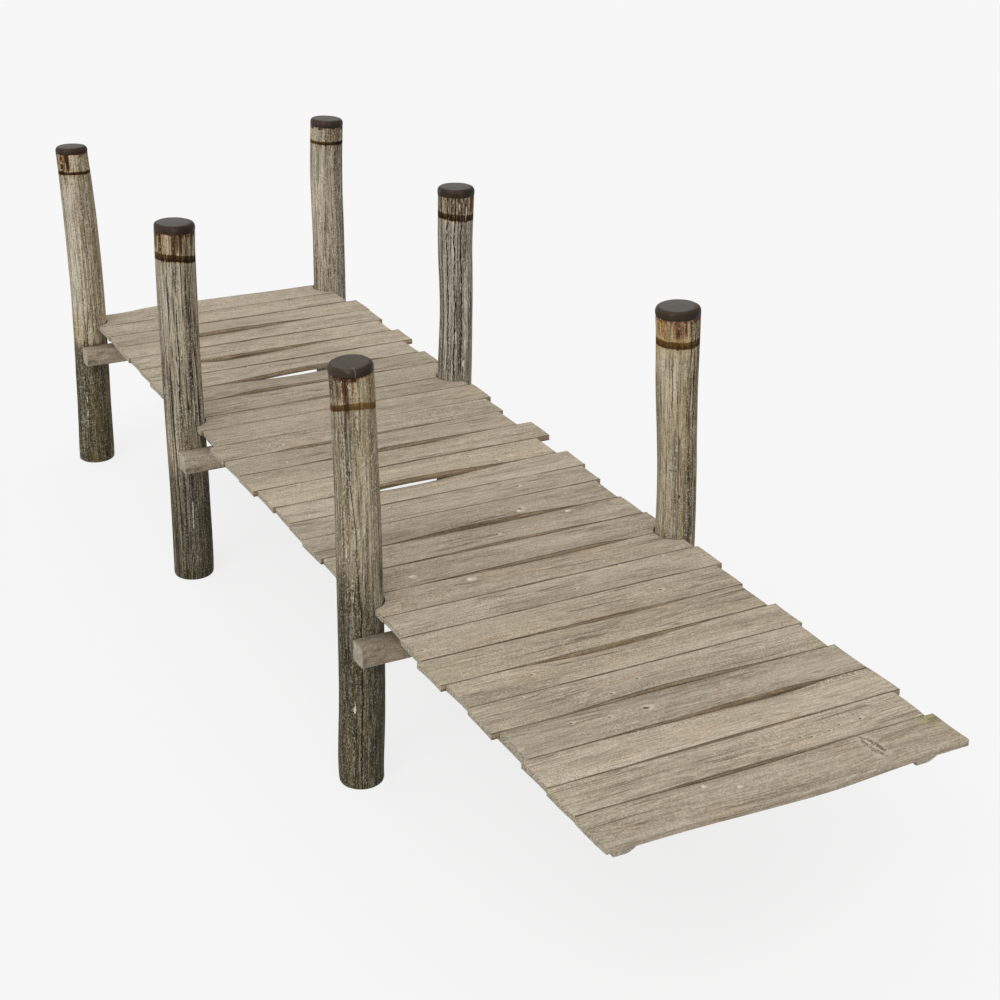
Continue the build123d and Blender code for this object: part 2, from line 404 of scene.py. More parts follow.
def log_wood():
    """Pale log above the deck, dark and overgrown below it, stained under its cap."""
    material, n, inputs = new_material("log wood", 0.15)
    place = n.layer("wood_place", "Vector")
    wood = n.group(grain, Place=place, Sway=0.012, Fine=0.86)
    tone, streak, tick, fibre, mottle = (wood[key] for key in grain_names)
    stripes, rough = n.layer("stripes"), n.layer("rough")
    dry = n.blend(
        tone, (0.34, 0.48), (0.5, 0.64), (0.245, 0.205, 0.150), (0.375, 0.325, 0.245),
        (0.52, 0.465, 0.37))
    wet = n.blend(
        tone, (0.36, 0.50), (0.5, 0.64), (0.042, 0.036, 0.019), (0.088, 0.076, 0.042),
        (0.145, 0.130, 0.084))
    edge = n.noise(place, (2.4, 44, 44), (5, 5, 1), 4, 0.6) - 0.5
    damp = n.span(n.layer("damp") + edge * 1.7, 0.25, 0.75)
    colour = n.mix(damp, dry, wet)
    colour = n.shaded(colour, "tone", (0.74, 0.73, 0.72), (1.34, 1.34, 1.34))
    colour = n.shaded(colour, "warm", (0.98, 0.985, 1.04), (1.08, 0.965, 0.70))
    # pale and shade zones: partly paler and darker wood, partly painted light on the lit side and
    # painted shade on the side away from the light
    colour = n.coats(colour, (streak, 0.36, 0.52, n.layer("pale"), (0.66, 0.60, 0.48)))
    colour = n.shaded(colour, "shade", (1.0, 1.0, 1.0), (0.20, 0.19, 0.165))
    darker = n.times(colour, (0.30, 0.285, 0.26))
    paler = n.mix(damp, (0.66, 0.61, 0.515), (0.36, 0.335, 0.26))
    speckled = rough * 0.55 + 0.17
    colour = n.coats(
        colour, (streak, 0.46, 0.40, stripes * 0.65 + 0.25, darker),
        (streak, 0.56, 0.62, stripes * 0.45 + 0.2, paler), (tick, 0.43, 0.37, 0.6, darker),
        (tick, 0.57, 0.64, 0.5, paler), (mottle, 0.43, 0.37, speckled, darker),
        (mottle, 0.57, 0.64, speckled, paler))
    colour = n.tint(colour, fibre, 0.3, 0.7, 0.80, 1.20)
    grit = damp * rough
    growth = n.noise(place, (9, 34, 34), (8, 1, 6), 5, 0.7)
    colour = n.coats(
        colour, (mottle, 0.47, 0.40, grit * 0.55, (0.022, 0.019, 0.011)),
        (mottle, 0.57, 0.63, grit * 0.5, (0.42, 0.39, 0.30)),
        (growth, 0.48, 0.64, damp * n.layer("moss"), (0.165, 0.140, 0.024)))

    # resin and rust under the cap
    flow = n.noise(place, (5, 95, 95), (1, 9, 2), 3, 0.6)
    resin = n.times(colour, (1.0, 0.86, 0.58))
    colour = n.coats(colour, (flow, 0.35, 0.55, n.layer("resin"), resin))
    rust, depth = n.layer("rust"), n.layer("rust_deep")
    orange = n.blend(
        depth, (0.0, 0.5), (0.5, 1.0), (0.36, 0.165, 0.045), (0.190, 0.076, 0.036),
        (0.075, 0.036, 0.016))
    orange = n.tint(orange, mottle, 0.38, 0.62, 0.5, 1.7)
    colour = n.coats(
        colour, (rust + (flow - 0.5) * 1.2, 0.22, 0.85, 0.9, orange),
        (rust + (flow - 0.5) * 1.8, 0.86, 1.06, 0.85, (0.036, 0.016, 0.006)))

    # drying checks, flakes and dots
    colour = n.mix(wood["Checks"] * (stripes * 0.5 + 0.45), colour, (0.030, 0.025, 0.019))
    colour = n.mix(
        wood["Cracks"] * n.span(stripes, 0.1, 0.9, 0.1, 0.95), colour, (0.030, 0.026, 0.020))
    flake = n.mix(damp, (0.68, 0.64, 0.54), (0.34, 0.315, 0.235))
    flecks = n.noise(place, (90, 110, 110), (2, 2, 2), 1)
    area = n.noise(place, (5, 40, 40), (9, 4, 3), 2)
    dot = n.run(
        "ShaderNodeTexVoronoi", "Distance", Vector=n.stretch(place, (38, 45, 45)), Scale=1.0)
    colour = n.coats(
        colour, (flecks, 0.61, 0.66, n.span(area, 0.47, 0.57) * (rough * 0.5 + 0.3), flake),
        (dot, 0.17, 0.10, n.layer("dots") * n.span(area, 0.46, 0.56),
         n.mix(damp, (0.76, 0.74, 0.66), (0.52, 0.50, 0.42))))

    # the ring: how far below the cap's edge, half the ring's width, and how dark it is
    below, half, strong = n.parts(n.layer("ring", "Vector"))
    wave = (n.noise(place, (0, 9, 9), (1, 2, 3), 2) - 0.5) * 0.014 + (flow - 0.5) * 0.010
    down = below - ring_below_cap + wave
    drips = n.span(flow + (mottle - 0.5) * 0.6, 0.50, 0.66, 0.0, 0.008)
    off = n.math("MAXIMUM", down - drips, down * -1) - half + (mottle - 0.5) * 0.016
    strong = strong + (growth - 0.5) * 1.1 + (mottle - 0.5) * 1.3 + n.span(
        down, -0.012, 0.016, -0.14, 0.14)
    stain = n.mix(strong, (0.56, 0.43, 0.22), (0.070, 0.032, 0.008))
    fringe = n.times(colour, (0.92, 0.66, 0.33))
    colour = n.coats(colour, (off, 0.008, 0.0, n.span(growth, 0.4, 0.6) * 0.7, fringe))
    dyed = n.times(n.mix(0.22, colour, (0.40, 0.34, 0.25)), stain)
    colour = n.coats(
        colour, (off, 0.0022, -0.0022, 1.0, dyed),
        (n.layer("check") + (tick - 0.5) * 0.5, 0.26, 0.52, 0.95, (0.020, 0.017, 0.012)),
        (n.layer("fleck") + (mottle - 0.5) * 1.2, 0.3, 0.55, 1.0, (0.70, 0.67, 0.58)))

    # up to three long cracks, and one across: their layers hold places from them, in metres,
    # and how wide they are
    hollow = (0.012, 0.010, 0.007)
    ragged = n.noise(place, (60, 160, 160), (0, 4, 0), 3, 0.65)
    open_width = n.span(ragged, 0.32, 0.68, 0.0002, 0.0036)
    for count in range(1, crack_limit + 1):
        arc, level, wide = n.parts(n.layer(f"crack_{count}", "Vector"))
        up = n.vector(level, 0.0, 0.0)
        bend = (n.noise(up, (5, 1, 1), detail=1) - 0.5) * 0.020
        bend = bend + (n.noise(up, (34, 1, 1), (3, 0, 0), 3, 0.6) - 0.5) * 0.008
        line = abs(arc + bend) - open_width * wide
        shown = n.span(wide, 0.1, 0.6)
        lip = n.span(mottle, 0.50, 0.62) * shown * 0.45
        colour = n.coats(
            colour, (line, 0.0009, 0.0, shown, hollow),
            (abs(line - 0.0040), 0.0022, 0.0012, lip, flake))
    rise, run, near_cross = n.parts(n.layer("cross_crack", "Vector"))
    shown = n.span(run, 0.0, 0.1) * n.span(run, 1.0, 0.92) * near_cross
    colour = n.coats(
        colour, (abs(rise + (mottle - 0.5) * 0.008) - 0.0017, 0.0012, 0.0, shown, hollow))
    n.put(inputs["Base Color"], colour)
    first = n.bump(wood["Height"], 0.8, 0.005)
    n.put(inputs["Normal"], n.bump(mottle, 0.45, 0.003, Normal=first))
    n.put(inputs["Roughness"], n.span(damp, 0, 1, 0.88, 0.72))
    return material


def cap_metal():
    """Dull dark brown cap, chalky and painted lighter on top, with painted shade on its shady side
    and towards its bottom rim, a painted highlight on its sunny shoulder, dents and a few
    scratches.
    """
    material, n, inputs = new_material("dark cap", 0.12)
    place = n.run("ShaderNodeTexCoord", "Object")
    cloud = n.noise(place, (14, 14, 14), detail=5, rough=0.6)
    grit = n.noise(place, (160, 160, 160), detail=2)
    colour = n.mix(n.span(cloud, 0.35, 0.7), (0.042, 0.028, 0.018), (0.068, 0.045, 0.029))
    up = n.parts(n.run("ShaderNodeNewGeometry", "Normal"))[2]
    # the upward faces are paler: partly chalky weathering, partly painted light on the top
    chalk = n.mix(n.span(cloud, 0.3, 0.7), (0.087, 0.078, 0.066), (0.114, 0.103, 0.089))
    colour = n.coats(colour, (up, 0.90, 0.995, n.layer("chalk"), chalk))
    colour = n.tint(colour, grit, 0.35, 0.65, 0.9, 1.1)
    colour = n.mix(n.layer("scratch") * 0.42, colour, (0.36, 0.33, 0.28))
    # painted shade: darker on the cap's shady side, and darker towards its bottom rim
    colour = n.shaded(colour, "grime", (1.0, 1.0, 1.0), (0.40, 0.38, 0.36))
    # painted highlight: a paler patchy band along the shoulder on the sunny side
    colour = n.coats(colour, (cloud, 0.40, 0.60, n.layer("worn"), (0.145, 0.128, 0.112)))
    n.put(inputs["Base Color"], colour)
    n.put(inputs["Roughness"], n.span(cloud, 0.3, 0.7, 0.36, 0.58))
    dents = n.bump(n.noise(place, (14, 14, 48), detail=1.5), 0.8, 0.012)
    n.put(inputs["Normal"], n.bump(grit, 0.15, 0.0006, Normal=dents))
    return material


# ---------------------------------------------------------------- building meshes
def named(n, name, kind="FLOAT"):
    return n.run("GeometryNodeInputNamedAttribute", 0, {"data_type": kind}, Name=name)


def keep(n, geometry, name, value):
    """Stores a vector on the points of a geometry under a name."""
    return n.run(
        "GeometryNodeStoreNamedAttribute", 0, {"data_type": "FLOAT_VECTOR", "domain": "POINT"},
        Geometry=geometry, Name=name, Value=value)


def finish_tree(n, geometry, position, wood, out):
    """Moves a sweep's points to their places and gives the whole its material."""
    geometry = n.run("GeometryNodeSetPosition", Geometry=geometry, Position=position)
    geometry = n.run("GeometryNodeSetShadeSmooth", Geometry=geometry, Shade_Smooth=True)
    geometry = n.run("GeometryNodeRealizeInstances", Geometry=geometry)
    n.put(out, n.run("GeometryNodeSetMaterial", Geometry=geometry, Material=wood))


def timber_tree():
    """Sweeps a sawn section along a line whose points say where its edges and top are."""
    tree, n, given, out = new_group(
        "timber along its line",
        [("Line", "Geometry", None), ("Section", "Object", None), ("Run", "Vector", (1, 0, 0)),
         ("Side", "Vector", (0, 1, 0)), ("Thickness", "Float", 0.03), ("Wander", "Float", 0.001),
         ("Ripple", "Float", 0.001), ("Seed", "Float", 0.0), ("Wood", "Material", None)],
        [("Timber", "Geometry")], "GeometryNodeTree")
    section = n.run("GeometryNodeObjectInfo", "Geometry", Object=given["Section"])
    timber = n.run(
        "GeometryNodeCurveToMesh", Curve=n.run("GeometryNodeMeshToCurve", Mesh=given["Line"]),
        Profile_Curve=n.run("GeometryNodeMeshToCurve", Mesh=section), Fill_Caps=True)
    along, across, inset, drop, near_edge, far_edge, near_top, far_top, cup, skew, hollow, wear = (
        named(n, name) for name in (
            "along", "across", "inset", "drop", "near_edge", "far_edge", "near_top", "far_top",
            "cup", "skew", "hollow", "wear"))
    seed, wander, width = given["Seed"], given["Wander"] * 2.0, far_edge - near_edge
    long_wave = n.noise(n.vector(along * 4.5, seed, across * 7.0), detail=1)
    short_wave = n.noise(n.vector(along * 24.0, seed, across * 7.0), detail=1)
    near = near_edge + wander * (long_wave - 0.5)
    side = near + across * width + inset + wander * 0.4 * (short_wave - 0.5)
    share = (side - near_edge) / width
    bulge = 1.0 - 4.0 * (share - 0.5) * (share - 0.5)
    side = side + wear * (1.0 - 2.0 * share)
    upper = n.span(drop / given["Thickness"], 0.2, 0.6, 1, 0)
    ripple = n.noise(n.vector(along * 3.0, side * 16.0, seed), detail=1) - 0.5
    furrow = n.noise(n.vector(along * 3.5, side * 80.0, seed + 5.0), detail=1) - 0.5
    top = near_top + (far_top - near_top) * share + bulge * cup
    top = top + upper * given["Ripple"] * (ripple * 2.0 + furrow * 1.2)
    up = top - drop - wear * (1.0 - 2.0 * drop / given["Thickness"])
    run = along + skew * (share - 0.5) + hollow * bulge
    level = n.summed(n.scaled(given["Run"], run), n.scaled(given["Side"], side))
    finish_tree(n, timber, n.summed(level, n.vector(0.0, 0.0, up)), given["Wood"], out[0])
    return tree


def log_tree():
    """Sweeps a round, slightly rippled and furrowed log along its crooked middle line."""
    tree, n, given, out = new_group(
        "log along its line",
        [("Line", "Geometry", None), ("Sides", "Int", 128), ("Front", "Float", 0.0),
         ("Crowd", "Float", 0.0), ("Ripple", "Float", 0.0016), ("Furrow", "Float", 0.001),
         ("Top Slope", "Vector", (0, 0, 0)), ("Top", "Float", 2.0),
         ("Seed", "Float", 0.0), ("Wood", "Material", None)],
        [("Log", "Geometry")], "GeometryNodeTree")
    line = n.run("GeometryNodeMeshToCurve", Mesh=given["Line"])
    line = keep(n, line, "middle", n.run("GeometryNodeInputPosition"))
    circle = n.run("GeometryNodeCurvePrimitiveCircle", Resolution=given["Sides"], Radius=1.0)
    circle_x, circle_y, _ = n.parts(n.run("GeometryNodeInputPosition"))
    turn = n.math("ARCTAN2", circle_x, circle_y * -1.0)
    turn = turn - n.math("SINE", turn - given["Front"]) * given["Crowd"]
    spot = n.vector(n.math("SINE", turn), n.math("COSINE", turn) * -1.0, 0.0)
    circle = keep(n, circle, "spot", spot)
    log = n.run("GeometryNodeCurveToMesh", Curve=line, Profile_Curve=circle, Fill_Caps=True)
    middle_x, middle_y, height = n.parts(named(n, "middle", "FLOAT_VECTOR"))
    spot_x, spot_y, _ = n.parts(named(n, "spot", "FLOAT_VECTOR"))
    seed = given["Seed"]
    ripple = n.noise(n.vector(spot_x * 1.1 + seed, spot_y * 1.1, height * 2.6), detail=2) - 0.5
    furrow = n.noise(n.vector(spot_x * 8.0, spot_y * 8.0 + seed, height * 2.2), detail=2) - 0.5
    radius = named(n, "girth") + ripple * given["Ripple"] * 2.0 + furrow * given["Furrow"] * 2.0
    across, back = spot_x * radius, spot_y * radius
    slope_x, slope_y, _ = n.parts(given["Top Slope"])
    tipped = (across * slope_x + back * slope_y) * n.span(height, given["Top"] - 0.3, given["Top"])
    position = n.vector(middle_x + across, middle_y + back, height + tipped)
    finish_tree(n, log, position, given["Wood"], out[0])
    return tree


def new_piece(name, points, edges, faces):
    mesh = bpy.data.meshes.new(name)
    mesh.from_pydata([tuple(point) for point in points], edges, faces)
    piece = bpy.data.objects.new(name, mesh)
    bpy.context.scene.collection.objects.link(piece)
    return piece


def evaluated(piece):
    """Swaps a piece's mesh for the plain mesh that its modifiers give."""
    graph = bpy.context.evaluated_depsgraph_get()
    made = bpy.data.meshes.new_from_object(piece.evaluated_get(graph))
    old = piece.data
    piece.modifiers.clear()
    piece.data = made
    bpy.data.meshes.remove(old)


def paint(piece, **layers):
    """Stores numbers or vectors on the piece's points; a single number goes to every point."""
    for name, values in layers.items():
        values = np.asarray(values, dtype=np.float32)
        if values.ndim == 0:
            values = np.full(len(piece.data.vertices), values)
        kind, field = ("FLOAT_VECTOR", "vector") if values.ndim == 2 else ("FLOAT", "value")
        layer = piece.data.attributes.new(name, kind, "POINT")
        layer.data.foreach_set(field, values.ravel())


def grow(name, tree, line, layers, inputs):
    """Runs a tree on a line of points that carry layers of numbers."""
    piece = new_piece(name, line, [(k, k + 1) for k in range(len(line) - 1)], [])
    paint(piece, **layers)
    modifier = piece.modifiers.new(tree.name, "NODES")
    modifier.node_group = tree
    for item in tree.interface.items_tree:
        if item.in_out == "INPUT" and item.name in inputs:
            modifier[item.identifier] = inputs[item.name]
    evaluated(piece)
    return piece


def settle(piece, degrees):
    """Merges doubles, turns faces outwards and marks edges over so many degrees as sharp."""
    mesh = bmesh.new()
    mesh.from_mesh(piece.data)
    bmesh.ops.remove_doubles(mesh, verts=mesh.verts, dist=double_distance)
    bmesh.ops.recalc_face_normals(mesh, faces=mesh.faces)
    for edge in mesh.edges:
        edge.smooth = not (
            len(edge.link_faces) == 2 and edge.calc_face_angle(0) > math.radians(degrees))
    mesh.to_mesh(piece.data)
    mesh.free()


def layer_of(piece, name, size=1):
    flat = np.empty(len(piece.data.vertices) * size, np.float32)
    piece.data.attributes[name].data.foreach_get("value" if size == 1 else "vector", flat)
    return flat.reshape(-1, size).astype(float) if size > 1 else flat.astype(float)


def forget_layers(piece):
    """Removes the building layers, so that only the wood's own layers stay."""
    layers = piece.data.attributes
    for name in [layer.name for layer in layers]:
        layer = layers[name]
        if (layer.domain == "POINT" and layer.data_type in ("FLOAT", "FLOAT_VECTOR")
                and not layer.is_required):
            layers.remove(layer)


def points_of(piece):
    flat = np.empty(len(piece.data.vertices) * 3, np.float32)
    piece.data.vertices.foreach_get("co", flat)
    return flat.reshape(-1, 3).astype(float)


def place_points(piece, points):
    piece.data.vertices.foreach_set("co", points.astype(np.float32).ravel())
    piece.data.update()


def finish_piece(piece, node):
    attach(piece, "root")
    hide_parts(node)


def soft_noise(u, v, seed, wrap=0):
    """Smooth random numbers from -1 to 1 on a plane; wrap closes them round a log."""
    size = 256
    table = np.random.default_rng(seed).uniform(-1, 1, (size, size))
    u0, v0 = np.floor(u).astype(int), np.floor(v).astype(int)
    fu, fv = (part * part * (3 - 2 * part) for part in (u - u0, v - v0))
    a, b, c, d = u0 % (wrap or size), (u0 + 1) % (wrap or size), v0 % size, (v0 + 1) % size
    low = table[a, c] * (1 - fu) + table[b, c] * fu
    high = table[a, d] * (1 - fu) + table[b, d] * fu
    return low * (1 - fv) + high * fv


def smooth_step(value, low, high):
    t = np.clip((value - low) / (high - low), 0, 1)
    return t * t * (3 - 2 * t)


def between(value, start, risen, falling, end):
    """Rises smoothly from 0 to 1 between the first two and falls between the last two."""
    return smooth_step(value, start, risen) * (1 - smooth_step(value, falling, end))


def hump(value, width=1.0):
    """1 at zero, falling off softly on both sides."""
    return np.exp(-(value / width) ** 2)


def columns(*parts):
    return np.stack(np.broadcast_arrays(*parts), -1)


def cad_tree(node):
    mesh = nodes[node].data
    return BVHTree.FromPolygons(
        [vertex.co.copy() for vertex in mesh.vertices],
        [tuple(polygon.vertices) for polygon in mesh.polygons])


def hit(tree, start, direction):
    return tree.ray_cast(Vector(start), Vector(direction))[0]


def cut_round_posts(piece, low, high, corners, seed):
    """Cuts a piece back where it passes a post, as the sawn flats of a rough notch."""
    for x, y, reach in notches:
        if x - reach < high.x and x + reach > low.x and y - reach < high.y and y + reach > low.y:
            offset = np.random.default_rng(seed).uniform(0, 1)
            turns = [2 * pi * (corner + offset) / corners for corner in range(corners)]
            points = [
                (x + reach * math.cos(turn), y + reach * math.sin(turn), z)
                for z in (low.z - cutter_reach, high.z + cutter_reach) for turn in turns]
            faces = [
                (corner, (corner + 1) % corners, corners + (corner + 1) % corners, corners + corner)
                for corner in range(corners)]
            faces += [tuple(reversed(range(corners))), tuple(range(corners, 2 * corners))]
            cutter = new_piece("cutter", points, [], faces)
            notch = piece.modifiers.new("notch", "BOOLEAN")
            notch.operation, notch.solver, notch.object = "DIFFERENCE", "EXACT", cutter
            evaluated(piece)
            bpy.data.objects.remove(cutter)


